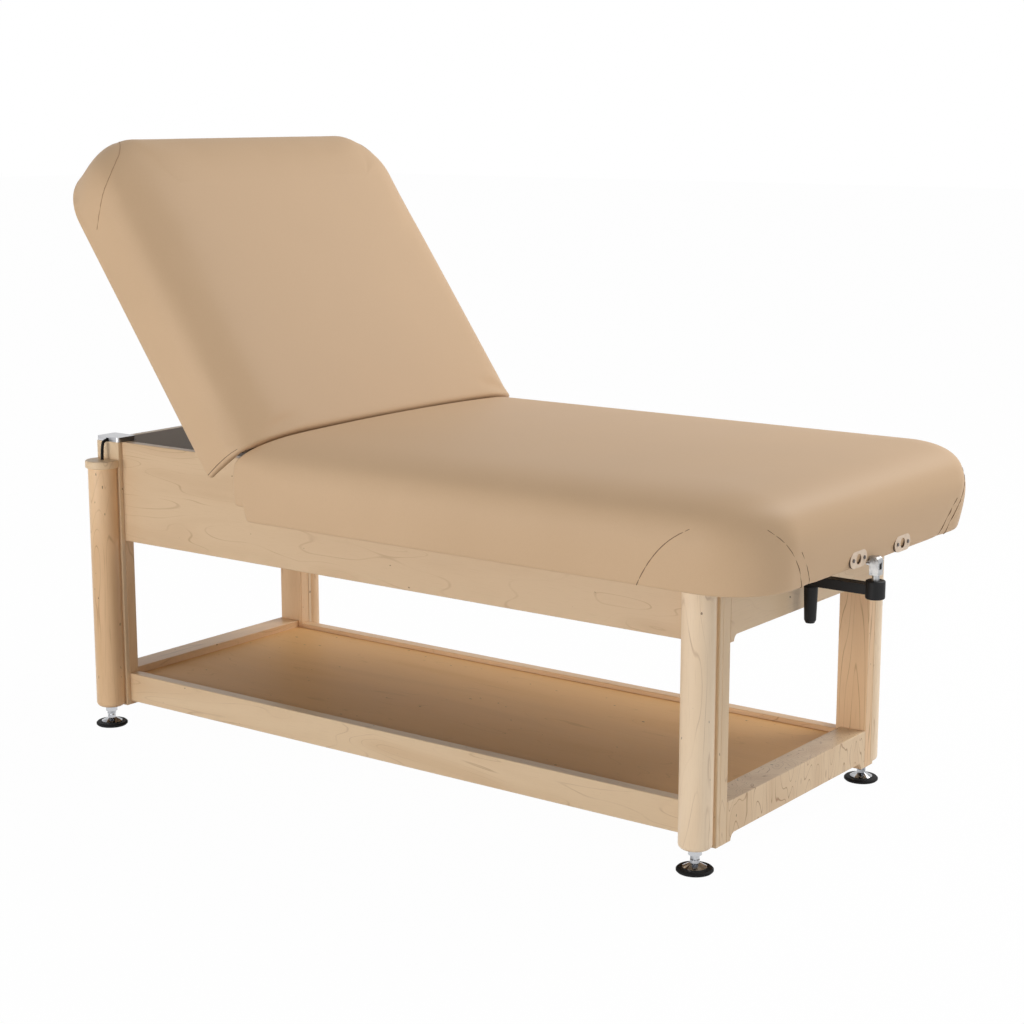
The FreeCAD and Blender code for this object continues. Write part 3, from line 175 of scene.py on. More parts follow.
def bump(tree, shader, height, strength, distance):
    item = add(tree, "ShaderNodeBump")
    item.inputs["Strength"].default_value = strength
    item.inputs["Distance"].default_value = distance
    tree.links.new(height, item.inputs["Height"])
    tree.links.new(item.outputs["Normal"], shader.inputs["Normal"])


def srgb(red, green, blue):
    """A colour as it is seen on a screen, 0 to 255, in the scene's linear values."""
    def linear(value):
        value /= 255
        return value / 12.92 if value <= 0.04045 else ((value + 0.055) / 1.055) ** 2.4
    return tuple(linear(value) for value in (red, green, blue))


def grey(value):
    return (value, value, value)


def stretched(across, along, axis):
    """Texture scales that draw a pattern out along one axis."""
    scales = [across] * 3
    scales[axis] = along
    return scales


# Scales of the wood's patterns, across and along the grain.
GROWTH_ACROSS = 11.0
PATCHES = (24.0, 6.0)
PORES = (700.0, 22.0)
SPECKS = (110.0, 60.0)
# A growth line's full and faded width, as shares of the way to the next one.
LINE_CORE, LINE_EDGE = 0.01, 0.06
FAINTEST_LINE = 0.05
PATCH_EDGE = 0.22
PORE_STRENGTH = 0.16
SPECK_STRENGTH = 0.75
# How much smoother and rougher than asked the wood is in places.
SMOOTHER, ROUGHER = 0.05, 0.07


def maple(name, axis, pale, dark, line, speck, roughness=0.42, coat=0.12, rings=16.0, along=1.5,
          shown_most=0.5, shown_from=0.46):
    """Clear-coated maple: growth lines that close into loops, a slow tone, fine pores and a few dark specks.

    The growth lines show in patches: faintly up to shown_from of the patch pattern, then up to shown_most.
    """
    material, tree, shader = new_material(name)
    growth = noise(tree, texture_place(tree, stretched(GROWTH_ACROSS, along, axis)), 1.0, detail=2.0,
                   roughness=0.5, distortion=0.4)
    tint = ramp(tree, growth, [(0.30, dark), (0.48, pale), (0.58, pale), (0.74, dark)])
    folded = calculate(tree, "PINGPONG", calculate(tree, "MULTIPLY", growth, rings), 0.5)
    lines = ramp(tree, folded, [(LINE_CORE, WHITE), (LINE_EDGE, BLACK)])
    patches = noise(tree, texture_place(tree, stretched(*PATCHES, axis)), 1.0, detail=2.0)
    shown = ramp(tree, patches, [(shown_from, grey(FAINTEST_LINE)),
                                 (shown_from + PATCH_EDGE, grey(shown_most))])
    tint = mix(tree, mix(tree, 1.0, lines, shown, "MULTIPLY"), tint, line)
    pores = noise(tree, texture_place(tree, stretched(*PORES, axis)), 1.0, detail=3.0, roughness=0.6)
    tint = mix(tree, ramp(tree, pores, [(0.55, BLACK), (0.75, grey(PORE_STRENGTH))]), tint, line)
    specks = noise(tree, texture_place(tree, stretched(*SPECKS, axis)), 1.0, detail=1.0, roughness=0.4)
    tint = mix(tree, ramp(tree, specks, [(0.775, BLACK), (0.80, grey(SPECK_STRENGTH))]), tint, speck)
    tree.links.new(tint, shader.inputs["Base Color"])
    rough = spread(tree, growth, roughness - SMOOTHER, roughness + ROUGHER)
    tree.links.new(rough, shader.inputs["Roughness"])
    bump(tree, shader, pores, strength=0.06, distance=0.0004)
    shader.inputs["Specular IOR Level"].default_value = 0.3
    shader.inputs["Coat Weight"].default_value = coat
    shader.inputs["Coat Roughness"].default_value = 0.25
    return material


def vinyl_material():
    """Upholstery vinyl: fine pebble grain, a slow change of tone and a soft sheen."""
    material, tree, shader = new_material("tan_vinyl")
    place = texture_place(tree)
    slow = noise(tree, place, 3.0, detail=2.0)
    tint = ramp(tree, slow, [(0.30, VINYL_DEEP), (0.70, VINYL_PALE)])
    pebble = add(tree, "ShaderNodeTexVoronoi", feature="SMOOTH_F1")
    pebble.inputs["Scale"].default_value = 700.0
    tree.links.new(place, pebble.inputs["Vector"])
    tint = mix(tree, spread(tree, pebble.outputs["Distance"], 0.0, 0.30), tint, VINYL_GRAIN)
    tree.links.new(tint, shader.inputs["Base Color"])
    tree.links.new(spread(tree, slow, 0.50, 0.60), shader.inputs["Roughness"])
    bump(tree, shader, pebble.outputs["Distance"], strength=0.12, distance=RELIEF_DEPTH)
    shader.inputs["Specular IOR Level"].default_value = 0.2
    shader.inputs["Sheen Weight"].default_value = 0.02
    shader.inputs["Sheen Roughness"].default_value = 0.45
    return material


def plain(name, colour, deep, roughness, metal=0.0, scale=60.0, relief=0.0, spread_rough=0.08,
          stretch=(1, 1, 1), specular=0.5):
    """A finish with a fine mottled tone (on the chrome, a painted reflection), a varying gloss and, where
    asked, a fine relief.
    """
    material, tree, shader = new_material(name)
    mottle = noise(tree, texture_place(tree, stretch), scale)
    tree.links.new(ramp(tree, mottle, [(0.35, deep), (0.65, colour)]), shader.inputs["Base Color"])
    rough = spread(tree, mottle, max(roughness - spread_rough, 0.02), roughness + spread_rough)
    tree.links.new(rough, shader.inputs["Roughness"])
    shader.inputs["Metallic"].default_value = metal
    shader.inputs["Specular IOR Level"].default_value = specular
    if relief:
        bump(tree, shader, mottle, relief, RELIEF_DEPTH)
    return material


VINYL_PALE = srgb(212, 180, 145)
VINYL_DEEP = srgb(208, 176, 141)
VINYL_GRAIN = srgb(194, 162, 128)
MAPLE_PALE = srgb(228, 200, 164)
MAPLE_DARK = srgb(217, 185, 147)
WARM_PALE = srgb(234, 197, 155)
WARM_DARK = srgb(220, 180, 136)
WARM_LINE = srgb(160, 116, 78)
MAPLE_LINE = srgb(172, 134, 98)
MAPLE_SPECK = srgb(110, 78, 52)
APRON_PALE = srgb(218, 188, 152)
APRON_DARK = srgb(206, 173, 136)
CREAM_PALE = srgb(247, 223, 192)
CREAM_DARK = srgb(238, 211, 178)
SHELF_PALE = srgb(229, 180, 121)
SHELF_DARK = srgb(224, 174, 115)
SHELF_LINE = srgb(200, 152, 98)
SHELF_SPECK = srgb(84, 58, 38)

LENGTHWISE, UPRIGHT = 0, 2
vinyl = vinyl_material()
maple_by_axis = [maple("maple_grain_" + letter, axis, MAPLE_PALE, MAPLE_DARK, MAPLE_LINE, MAPLE_SPECK)
                 for axis, letter in enumerate("xyz")]
warm_by_axis = [maple("warm_maple_grain_" + letter, axis, WARM_PALE, WARM_DARK, WARM_LINE, MAPLE_SPECK)
                for axis, letter in enumerate("xyz")]
# The two boards with the most figure: lines across the foot rail, and upright lines on the rear foot post.
flame_maple = maple("flame_maple", UPRIGHT, MAPLE_PALE, MAPLE_DARK, WARM_LINE, MAPLE_SPECK, rings=26.0,
                    along=3.0, shown_most=0.8, shown_from=0.28)
ribbon_maple = maple("ribbon_maple", UPRIGHT, WARM_PALE, WARM_DARK, WARM_LINE, MAPLE_SPECK, rings=34.0,
                     along=0.4, shown_most=0.7, shown_from=0.24)
apron_maple = maple("apron_maple", LENGTHWISE, APRON_PALE, APRON_DARK, MAPLE_LINE, MAPLE_SPECK)
cream_maple = maple("cream_maple", UPRIGHT, CREAM_PALE, CREAM_DARK, MAPLE_LINE, MAPLE_SPECK)
shelf_wood = maple("shelf_veneer", LENGTHWISE, SHELF_PALE, SHELF_DARK, SHELF_LINE, SHELF_SPECK,
                   roughness=0.55, coat=0.0)
deck_board = plain("dark_deck_board", srgb(120, 103, 85), srgb(112, 95, 78), 0.6, scale=240.0, relief=0.08,
                   specular=0.15)
# Painted reflection: the chrome's darker mottle stands in for dark things mirrored in the polished metal.
chrome = plain("polished_chrome", srgb(196, 197, 200), srgb(134, 136, 140), 0.10, metal=1.0,
               scale=70.0, spread_rough=0.04)
ram_steel = plain("ground_ram_steel", srgb(202, 203, 206), srgb(190, 191, 194), 0.18, metal=1.0,
                  scale=300.0, spread_rough=0.04, stretch=(1, 1, 6))
rubber = plain("black_rubber", srgb(26, 25, 25), srgb(16, 16, 16), 0.62, scale=500.0, relief=0.15,
               specular=0.15)
aluminium = plain("brushed_aluminium", srgb(200, 200, 202), srgb(178, 178, 181), 0.34, metal=1.0,
                  scale=30.0, relief=0.06, stretch=(1, 30, 30))
zinc, screw_zinc = [plain(name, srgb(190, 190, 190), srgb(160, 161, 163), 0.30, metal=1.0, scale=120.0)
                    for name in ("zinc_plate", "screw_zinc")]
enamel = plain("black_enamel", srgb(34, 34, 35), srgb(24, 24, 25), 0.38, scale=200.0, relief=0.05,
               specular=0.25)
plastic = plain("black_plastic", srgb(30, 30, 31), srgb(20, 20, 21), 0.48, scale=900.0, relief=0.20,
                specular=0.25)
cream = plain("cream_plastic", srgb(228, 205, 181), srgb(218, 194, 169), 0.40, scale=90.0)


def recolour(material, test, plane, colour):
    """Another colour on one side of a plane across X, given in metres."""
    tree = material.node_tree
    place = add(tree, "ShaderNodeSeparateXYZ")
    tree.links.new(texture_place(tree), place.inputs[0])
    side = calculate(tree, test, place.outputs["X"], plane)
    base = tree.nodes["Principled BSDF"].inputs["Base Color"]
    tree.links.new(mix(tree, side, base.links[0].from_socket, colour), base)


# The socket holes carry painted shade inside their bores, and the screws beside them are darker than those of
# the hose covers.
SOCKET_RIM = 0.0012
socket_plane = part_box("accessory_sockets")[1].x - SOCKET_RIM
# Painted shade: behind the plates' faces, inside the socket bores, the cream plastic turns a dark brown-grey.
recolour(cream, "LESS_THAN", socket_plane, srgb(84, 72, 64))
recolour(screw_zinc, "GREATER_THAN", socket_plane, srgb(104, 98, 96))

FINISHES = {
    "vinyl": vinyl,
    "shelf_board": shelf_wood,
    "deck_board": deck_board,
    "chrome": chrome,
    "rubber": rubber,
    "aluminium": aluminium,
    "zinc_steel": zinc,
    "black_enamel": enamel,
    "black_plastic": plastic,
    "cream_plastic": cream,
}


def longest_axis(name):
    low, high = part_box(name)
    sides = high - low
    return max(range(3), key=lambda axis: sides[axis])


UPRIGHT_GRAIN = ("post_", "column_head", "column_foot", "column_backing")
WARM_BOARDS = ("column_head", "post_head", "shelf_rail_head", "shelf_rail_rear")
OWN_FINISH = {
    "lift_rams": ram_steel,
    "screws": screw_zinc,
    "shelf_rail_foot": flame_maple,
    "post_foot_rear": ribbon_maple,
    "apron_front": apron_maple,
    "column_foot_front": cream_maple,
    "column_foot_rear": cream_maple,
}
slots = {piece["node"]: piece["material_slot"] for piece in frame["record"]["subparts"]}
for name, thing in nodes.items():
    finish = OWN_FINISH.get(name) or FINISHES.get(slots[name])
    if finish is None:
        axis = UPRIGHT if name.startswith(UPRIGHT_GRAIN) else longest_axis(name)
        finish = (warm_by_axis if name.startswith(WARM_BOARDS) else maple_by_axis)[axis]
    thing.data.materials.clear()
    thing.data.materials.append(finish)


# Upholstery: one cover per section, from the crown over the shoulders to the skirt's folded lower edge.
SKIRT_WRAP = 14.0
# (distance in from the plan outline, height over the skirt's lower edge) from the fold to the inner ring.
# Where the distance is negative, the side bulges out.
SIDE_PROFILE = [(SKIRT_WRAP, 7.0), (11.9, 1.5), (8.0, 0.2), (4.4, 1.5), (2.5, 5.0), (0.6, 12.0),
                (-2.0, 24.0), (-5.0, 38.0), (-7.8, 54.0), (-9.5, 69.2), (-9.8, 83.8), (-9.1, 97.2),
                (-6.2, 110.1), (-1.7, 122.5), (4.4, 133.6), (12.3, 142.5), (22.4, 150.4), (34.7, 157.1),
                (49.2, 162.5), (67.0, 167.1), (88.2, 170.5), (114.2, 172.9), (146.4, 174.7)]
CROWN = 7.2
INNER_RADIUS = 6.0
# Steps round each plan corner and across the straight part of the end.
CORNER_STEPS = 24
END_STEPS = 32
# How late the grid in the middle takes on the form of the far end.
FAR_POWER = 4


def u_outline(x_hinge, x_end, inset, hinge_columns):
    """A U-shaped outline: front side from the hinge, rounded far end, rear side back to the hinge."""
    sign = 1.0 if x_end > x_hinge else -1.0
    radius = max(CORNER_RADIUS - inset, INNER_RADIUS)
    half = HALF_WIDTH - inset
    end = x_end - sign * inset
    bend = end - sign * radius
    points = []
    side_length = x_end - sign * CORNER_RADIUS - x_hinge
    for x in hinge_columns:
        points.append((x_hinge + (x - x_hinge) / side_length * (bend - x_hinge), -half))
    for step in range(1, CORNER_STEPS + 1):
        turn = math.radians(90.0 * step / CORNER_STEPS)
        points.append((bend + sign * radius * math.sin(turn), -half + radius - radius * math.cos(turn)))
    for step in range(1, END_STEPS):
        points.append((end, -half + radius + (2 * half - 2 * radius) * step / END_STEPS))
    mirrored = [(x, -y) for x, y in reversed(points[:len(hinge_columns) + CORNER_STEPS])]
    return points + mirrored


def crown_rise(x, y, x_end):
    """Rise of the middle over the inner ring."""
    def ease(share):
        share = min(max(share, 0.0), 1.0)
        return 1 - (1 - share) ** 2
    edge = SIDE_PROFILE[-1][0]
    depth = HALF_WIDTH - edge
    return CROWN * ease((depth - abs(y)) / depth) * ease((abs(x_end - x) - edge) / depth)


def cover_rows(x_hinge, x_end, hinge_columns, profile, base):
    rows = []
    for inset, height in profile:
        ring = u_outline(x_hinge, x_end, inset, hinge_columns)
        rows.append([Vector((x, y, base + height)) for x, y in ring])
    return rows


def fill_grid(ring, columns):
    """The grid inside the innermost U: its three sides are the ring, its fourth is the hinge end."""
    half_corner = CORNER_STEPS // 2
    long_count = columns + half_corner
    across = 2 * half_corner + END_STEPS
    front = ring[:long_count]
    rear = list(reversed(ring[-long_count:]))
    far = ring[long_count - 1:long_count + across]
    grid = []
    for i in range(long_count):
        line = []
        for j in range(across + 1):
            v = j / across
            point = front[i].lerp(rear[i], v)
            u = i / (long_count - 1)
            straight = front[-1].lerp(rear[-1], v)
            point = point + (far[j] - straight) * u ** FAR_POWER
            line.append(point)
        grid.append(line)
    return grid


def inner_profile(ceiling):
    """The cover's inside: up the skirt's back and in under the cushion, with as many rows as the outside."""
    start = SIDE_PROFILE[0]
    count = len(SIDE_PROFILE)
    rising = count // 2
    rows = [(start[0], start[1] + (ceiling - start[1]) * step / rising) for step in range(rising + 1)]
    last = SIDE_PROFILE[-1][0]
    inward = count - len(rows)
    rows += [(start[0] + (last - start[0]) * (step + 1) / inward, ceiling) for step in range(inward)]
    return rows


def build_cover(name, x_hinge, x_end, columns, base, ceiling, shape_outer, shape_inner, to_world):
    """A closed cover: outer skin, inner skin, and the strip between them at the hinge end."""
    mesh = bmesh.new()
    skins = []
    for profile, shape in ((SIDE_PROFILE, shape_outer), (inner_profile(ceiling), shape_inner)):
        rows = cover_rows(x_hinge, x_end, columns, profile, base)
        grid = fill_grid(rows[-1], len(columns))
        if shape is shape_outer:
            for line in grid:
                for point in line:
                    point.z += crown_rise(point.x, point.y, x_end)
        skins.append((rows, grid, shape))
    verts = []
    for number, (rows, grid, shape) in enumerate(skins):
        made = []
        for level, ring in enumerate(rows):
            if number and level == 0:
                made.append(verts[0][0][0])
                continue
            made.append([mesh.verts.new(to_world(shape(point))) for point in ring])
        count = len(grid)
        inner = []
        for i, line in enumerate(grid):
            items = []
            for j, point in enumerate(line):
                if j == 0:
                    items.append(made[-1][i])
                elif j == len(line) - 1:
                    items.append(made[-1][-1 - i])
                elif i == count - 1:
                    items.append(made[-1][count - 1 + j])
                else:
                    items.append(mesh.verts.new(to_world(shape(point))))
            inner.append(items)
        verts.append((made, inner))
    for made, inner in verts:
        for low, high in zip(made, made[1:]):
            for a, b, c, d in zip(low, low[1:], high[1:], high):
                mesh.faces.new((a, b, c, d))
        for line, after in zip(inner, inner[1:]):
            for a, b, c, d in zip(line, line[1:], after[1:], after):
                mesh.faces.new((a, b, c, d))
    edges = []
    for made, inner in verts:
        edge = [ring[0] for ring in made] + inner[0][1:-1] + [ring[-1] for ring in reversed(made)]
        edges.append(edge)
    for (a, b), (c, d) in zip(zip(edges[0], edges[0][1:]), zip(edges[1], edges[1][1:])):
        corners = []
        for vert in (a, b, d, c):
            if vert not in corners:
                corners.append(vert)
        if len(corners) > 2:
            mesh.faces.new(corners)
    bmesh.ops.recalc_face_normals(mesh, faces=mesh.faces)
    data = bpy.data.meshes.new(name)
    mesh.verts.index_update()
    layout = {
        "rows": [[vert.index for vert in ring] for ring in verts[0][0]],
        "grid": [[vert.index for vert in line] for line in verts[0][1]],
        "edge": [vert.index for vert in edges[0]],
    }
    mesh.to_mesh(data)
    mesh.free()
    for polygon in data.polygons:
        polygon.use_smooth = True
    thing = bpy.data.objects.new(name, data)
    scene.collection.objects.link(thing)
    data.materials.append(vinyl)
    return thing, layout


def swell(thing, free, cap, pressure=4.0, frames=20):
    """Cloth with air pressure on the free points of a cover; no point moves further than the cap."""
    rest = np.array([v.co for v in thing.data.vertices])
    held = thing.vertex_groups.new(name="held")
    loose = set(free)
    held.add([i for i in range(len(rest)) if i not in loose], 1.0, "REPLACE")
    cloth = thing.modifiers.new("cloth", "CLOTH")
    cloth.settings.vertex_group_mass = "held"
    cloth.settings.quality = 6
    cloth.settings.tension_stiffness = 25
    cloth.settings.compression_stiffness = 25
    cloth.settings.shear_stiffness = 12
    cloth.settings.bending_stiffness = 3
    cloth.settings.use_pressure = True
    cloth.settings.uniform_pressure_force = pressure
    cloth.settings.effector_weights.gravity = 0
    cloth.point_cache.frame_start = 1
    cloth.point_cache.frame_end = frames
    for number in range(1, frames + 1):
        scene.frame_set(number)
    graph = bpy.context.evaluated_depsgraph_get()
    puffed = thing.evaluated_get(graph).to_mesh()
    moved = np.array([v.co for v in puffed.vertices]) - rest
    thing.evaluated_get(graph).to_mesh_clear()
    thing.modifiers.remove(cloth)
    scene.frame_set(1)
    length = np.linalg.norm(moved, axis=1)
    eased = cap * np.tanh(length / cap)
    scale = np.where(length > TINY, eased / np.maximum(length, TINY), 0.0)
    thing.data.vertices.foreach_set("co", (rest + moved * scale[:, None]).astype(np.float32).ravel())
    thing.data.update()


# Seams, in metres: how deep and wide they draw the cover in, and how thick the sewn line is.
SEAM_DEPTH = 0.0022
SEAM_WIDTH = 0.0055
SEAM_RADIUS = 0.0008
# Points between two stations, rounds of easing, and the share of its thickness a line loses on its way up.
SEAM_STEPS = 8
SEAM_EASING = 14
SEAM_TAPER = 0.35
FAR_AWAY = 1e9


def seam_path(thing, layout, stations):
    """Points on a cover through (column, row) stations, read off the cover's own grid and eased."""
    rows = layout["rows"]

    def at(column, level):
        left = int(column)
        lower = min(int(level), len(rows) - 2)
        u, v = column - left, level - lower
        corner = [thing.data.vertices[rows[lower + b][left + a]].co for b in (0, 1) for a in (0, 1)]
        below = corner[0] * (1 - u) + corner[1] * u
        above = corner[2] * (1 - u) + corner[3] * u
        return below * (1 - v) + above * v

    path = []
    for (c0, r0), (c1, r1) in zip(stations, stations[1:]):
        for step in range(SEAM_STEPS):
            share = step / SEAM_STEPS
            path.append(at(c0 + (c1 - c0) * share, r0 + (r1 - r0) * share))
    path.append(at(*stations[-1]))
    for _ in range(SEAM_EASING):
        eased = [(a + b * 2 + c) / 4 for a, b, c in zip(path, path[1:], path[2:])]
        path = path[:1] + eased + path[-1:]
    faces = [face.vertices[:] for face in thing.data.polygons]
    cover = BVHTree.FromPolygons([v.co for v in thing.data.vertices], faces)
    return [cover.find_nearest(spot)[0] for spot in path]


def press_seam(thing, path):
    """Draw the cover in along a seam."""
    spots = np.array([list(point) for point in path])
    rest = np.array([v.co for v in thing.data.vertices])
    normal = np.array([v.normal for v in thing.data.vertices])
    near = np.full(len(rest), FAR_AWAY)
    for a, b in zip(spots, spots[1:]):
        step = b - a
        share = np.clip(((rest - a) @ step) / max(step @ step, TINY ** 2), 0, 1)
        near = np.minimum(near, np.linalg.norm(rest - (a + share[:, None] * step), axis=1))
    dent = SEAM_DEPTH * np.exp(-(near / SEAM_WIDTH) ** 2)
    thing.data.vertices.foreach_set("co", (rest - normal * dent[:, None]).astype(np.float32).ravel())
    thing.data.update()


def seam_line(name, path, body, finish, taper):
    """The sewn line itself, a thin cord of thread and folded edge at the bottom of the crease."""
    curve = bpy.data.curves.new(name, "CURVE")
    curve.dimensions = "3D"
    spline = curve.splines.new("POLY")
    spline.points.add(len(path) - 1)
    for number, (point, spot) in enumerate(zip(spline.points, path)):
        point.co = (*spot, 1)
        point.radius = 1 - taper * (number / (len(path) - 1)) ** 2
    curve.bevel_depth = SEAM_RADIUS
    curve.bevel_resolution = 2
    curve.use_fill_caps = True
    thing = bpy.data.objects.new(name, curve)
    scene.collection.objects.link(thing)
    curve.materials.append(finish)
    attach(thing, body)


thread = plain("seam_thread", srgb(120, 92, 66), srgb(104, 78, 55), 0.7, scale=900.0, relief=0.2)
pale_thread = plain("pale_thread", srgb(178, 143, 111), srgb(164, 130, 99), 0.7, scale=900.0, relief=0.2)

# Directions along and out of the raised backrest, which presses into the seat from press_low to press_high.
ALONG = Vector((-math.cos(TILT), 0.0, math.sin(TILT)))
OUTWARD = Vector((math.sin(TILT), 0.0, math.cos(TILT)))
BACK_TOP = CUSHION_TOP - HINGE.z
PRESS_TOP = 37.0
press_high = HINGE + ALONG * PRESS_TOP + OUTWARD * BACK_TOP
press_low = HINGE + ALONG * BACK_END + OUTWARD * BACK_DECK_TOP
# How far the pressing reaches into each cover, and how far the seat's sides may bulge out at its end.
PRESS_REACH = SEAM_X + 172.0
BACK_PRESS = -BACK_END - 120.0
SIDE_BULGE = 10.0
SEAT_GAP = 1.0
LINING_GAP = 0.6
SKIRT_SLACK = 1.0
# Distances between the covers' columns, close to the hinge and further off.
FINE_STEP = 10.0
COARSE_STEP = 16.0


def seat_start(z):
    """Where the seat cover begins at a height, at its hinge end."""
    if z <= DECK_TOP:
        return SEAM_X
    if z <= press_low.z:
        share = (z - DECK_TOP) / (press_low.z - DECK_TOP)
        return SEAM_X + (press_low.x - SEAM_X) * share
    share = (z - press_low.z) / (press_high.z - press_low.z)
    return press_low.x + (press_high.x - press_low.x) * share


def over_notch(x, z):
    """The height of a point of the seat's skirt, whose lower edge is higher beside the hinge."""
    if x < NOTCH_X and z < DECK_TOP:
        return DECK_TOP - (DECK_TOP - z) * (DECK_TOP - NOTCH_BOTTOM) / (DECK_TOP - SKIRT_BOTTOM)
    return z


def shape_seat(point):
    x, y, z = point
    z = over_notch(x, z)
    if x < PRESS_REACH:
        flat = HALF_WIDTH + SIDE_BULGE * max(0.0, (x - SEAM_X) / (PRESS_REACH - SEAM_X))
        y = min(max(y, -flat), flat)
        start = seat_start(z) + SEAT_GAP
        x = start + (x - SEAM_X) * (PRESS_REACH - start) / (PRESS_REACH - SEAM_X)
    return Vector((x, y, z))


def shape_seat_inside(point):
    x, y, z = point
    if z > DECK_TOP and abs(y) < HALF_WIDTH - SKIRT_WRAP - SKIRT_SLACK:
        x = max(x, SEAT_DECK_END)
    return Vector((x, y, over_notch(x, z)))


def steps(first, last, size):
    """Even steps of about one size from first up to, but without, last."""
    count = max(1, round(abs(last - first) / size))
    return [first + (last - first) * i / count for i in range(count)]


# The seat's columns: close beside the seam, on both sides of the notch's step, then in even steps.
seat_columns = [SEAM_X + step for step in (0.0, 9.0, 18.0, 26.0)]
seat_columns += [NOTCH_X + step for step in (-0.3, 0.3, 7.0)]
seat_columns += steps(NOTCH_X + 16.0, PRESS_REACH, FINE_STEP)
seat_columns += steps(PRESS_REACH, FOOT_END - CORNER_RADIUS, COARSE_STEP)
seat_columns.append(FOOT_END - CORNER_RADIUS)
seat, seat_layout = build_cover("seat_upholstery", SEAM_X, FOOT_END, seat_columns, SKIRT_BOTTOM,
                                DECK_TOP - SKIRT_BOTTOM + LINING_GAP, shape_seat, shape_seat_inside,
                                lambda point: row(*point))


def shape_back(point):
    x, y, z = point
    if z > BACK_DECK_TOP and x > BACK_PRESS:
        share = (z - BACK_DECK_TOP) / (BACK_TOP - BACK_DECK_TOP)
        start = -BACK_END + (BACK_END - PRESS_TOP) * share
        x = start + (x + BACK_END) * (BACK_PRESS - start) / (BACK_PRESS + BACK_END)
    return Vector((x, y, z))


def raise_back(point):
    x, y, z = point
    spot = HINGE + ALONG * -x + OUTWARD * z
    return row(spot.x, y, spot.z)


back_columns = steps(-BACK_END, BACK_PRESS, FINE_STEP)
back_columns += steps(BACK_PRESS, -REACH + CORNER_RADIUS, COARSE_STEP)
back_columns.append(-REACH + CORNER_RADIUS)
back, back_layout = build_cover("backrest_upholstery", -BACK_END, -REACH, back_columns,
                                SKIRT_BOTTOM - HINGE.z,
                                BACK_DECK_TOP - SKIRT_BOTTOM + HINGE.z + LINING_GAP, shape_back,
                                lambda point: point, raise_back)

# Rows of the skirt's folded lower edge, which the air pressure leaves alone, and how far it moves the others.
FOLD_ROWS = 5
SWELL_MOST = 0.005
# Seams as (columns from the start of the corner's bend, rows from the fold): a gusset in each seat corner
# with a short welt beside it; one seam over each corner of the backrest and a fold along its hinge end.
SEAT_SEAMS = {
    "side": [(-7.6, 2.0), (-7.1, 5.0), (-5.8, 7.3), (-3.7, 9.8), (-2.0, 11.4), (-0.4, 12.5)],
    "end": [(25.6, 2.5), (25.5, 4.2), (24.6, 7.0), (20.5, 10.0), (18.0, 11.5), (15.5, 12.7)],
    "welt": [(27.0, 2.8), (26.9, 4.5), (26.2, 6.3), (25.2, 7.9), (24.3, 9.1)],
}
FOLD_COLUMN = 0.8
back_fold = FOLD_COLUMN - (len(back_columns) - 1)
BACK_SEAMS = {
    "corner": [(-2.6, 7.4), (-0.7, 10.4), (3.3, 13.6), (7.0, 15.0), (12.0, 15.8), (17.0, 14.8),
               (21.0, 12.5)],
    "fold": [(back_fold, 4.0), (back_fold, 8.0), (back_fold, 12.5)],
}
for thing, layout, columns, body, plan in ((seat, seat_layout, seat_columns, "table_frame", SEAT_SEAMS),
                                           (back, back_layout, back_columns, "backrest", BACK_SEAMS)):
    first = len(columns) - 1
    total = len(layout["rows"][0])
    seams = {}
    for corner in ("front", "rear"):
        for half, stations in plan.items():
            path = [(first + column, level) for column, level in stations]
            if corner == "rear":
                path = [(total - 1 - column, level) for column, level in path]
            seams[corner + "_" + half] = path
    edge = set(layout["edge"])
    free = {i for ring in layout["rows"][FOLD_ROWS:] for i in ring}
    free |= {i for line in layout["grid"] for i in line}
    swell(thing, free - edge, SWELL_MOST)
    for label, path in seams.items():
        press_seam(thing, seam_path(thing, layout, path))
        pale = label.endswith("corner")
        seam_line(thing.name.split("_")[0] + "_seam_" + label, seam_path(thing, layout, path), body,
                  pale_thread if pale else thread, 0.0 if pale else SEAM_TAPER)
    smooth = thing.modifiers.new("smooth", "SUBSURF")
    smooth.levels = 1
    smooth.render_levels = 1

# A point FOLLOW_FROM in from the top of the backrest's pressing line, not used further. Then the seat cover's
# place is baked in, the CAD's cushions and skirts are hidden, and the backrest cover goes with the backrest.
FOLLOW_FROM = 5.5
press = (press_high - press_low).normalized()
inward = Vector((press.z, 0.0, -press.x))
spot = press_high + inward * FOLLOW_FROM
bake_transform(seat)
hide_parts("seat_cushion", "seat_skirt_front", "seat_skirt_rear", "seat_skirt_foot")
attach(back, "backrest")
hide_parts("backrest_cushion", "backrest_skirt_front", "backrest_skirt_rear", "backrest_skirt_head")

# Hydraulic hoses from the caps, over the posts and inside the box to the pump.
HOSE_DIAMETER = 0.007
BEND_REACH = 50.0
BEND_STEPS = 10
SHORTEST = 0.01


def rounded(corners):
    """A route with its corners bent, none of them over more than BEND_REACH of the straight beside it.

    A straight between two bends gives each of them at most one half.
    """
    route = [Vector(corner) for corner in corners]
    path = route[:1]
    last = len(route) - 2
    for number in range(1, last + 1):
        corner = route[number]
        back = route[number - 1] - corner
        on = route[number + 1] - corner
        start = corner + back * min(1.0 if number == 1 else 0.5, BEND_REACH / back.length)
        stop = corner + on * min(1.0 if number == last else 0.5, BEND_REACH / on.length)
        for step in range(BEND_STEPS + 1):
            share = step / BEND_STEPS
            path.append(start.lerp(corner, share).lerp(corner.lerp(stop, share), share))
    path.append(route[-1])
    return [spot for spot, after in zip(path, path[1:]) if (after - spot).length > SHORTEST] + path[-1:]


LEG_X, LEG_Y = 773.5, 328.4
# Heights of a hose at the cap, over the post and under its cover, and where it bends and drops into the box.
CAP_Z, RISE_Z, OVER_Z, COVER_Z = 591.0, 640.0, 652.0, 650.9
BEND_Y, DROP_Y = 318.0, 260.0
# The pump's middle, and its ports to either side of it.
PUMP_Y, PORT_Y = -35.0, 39.0
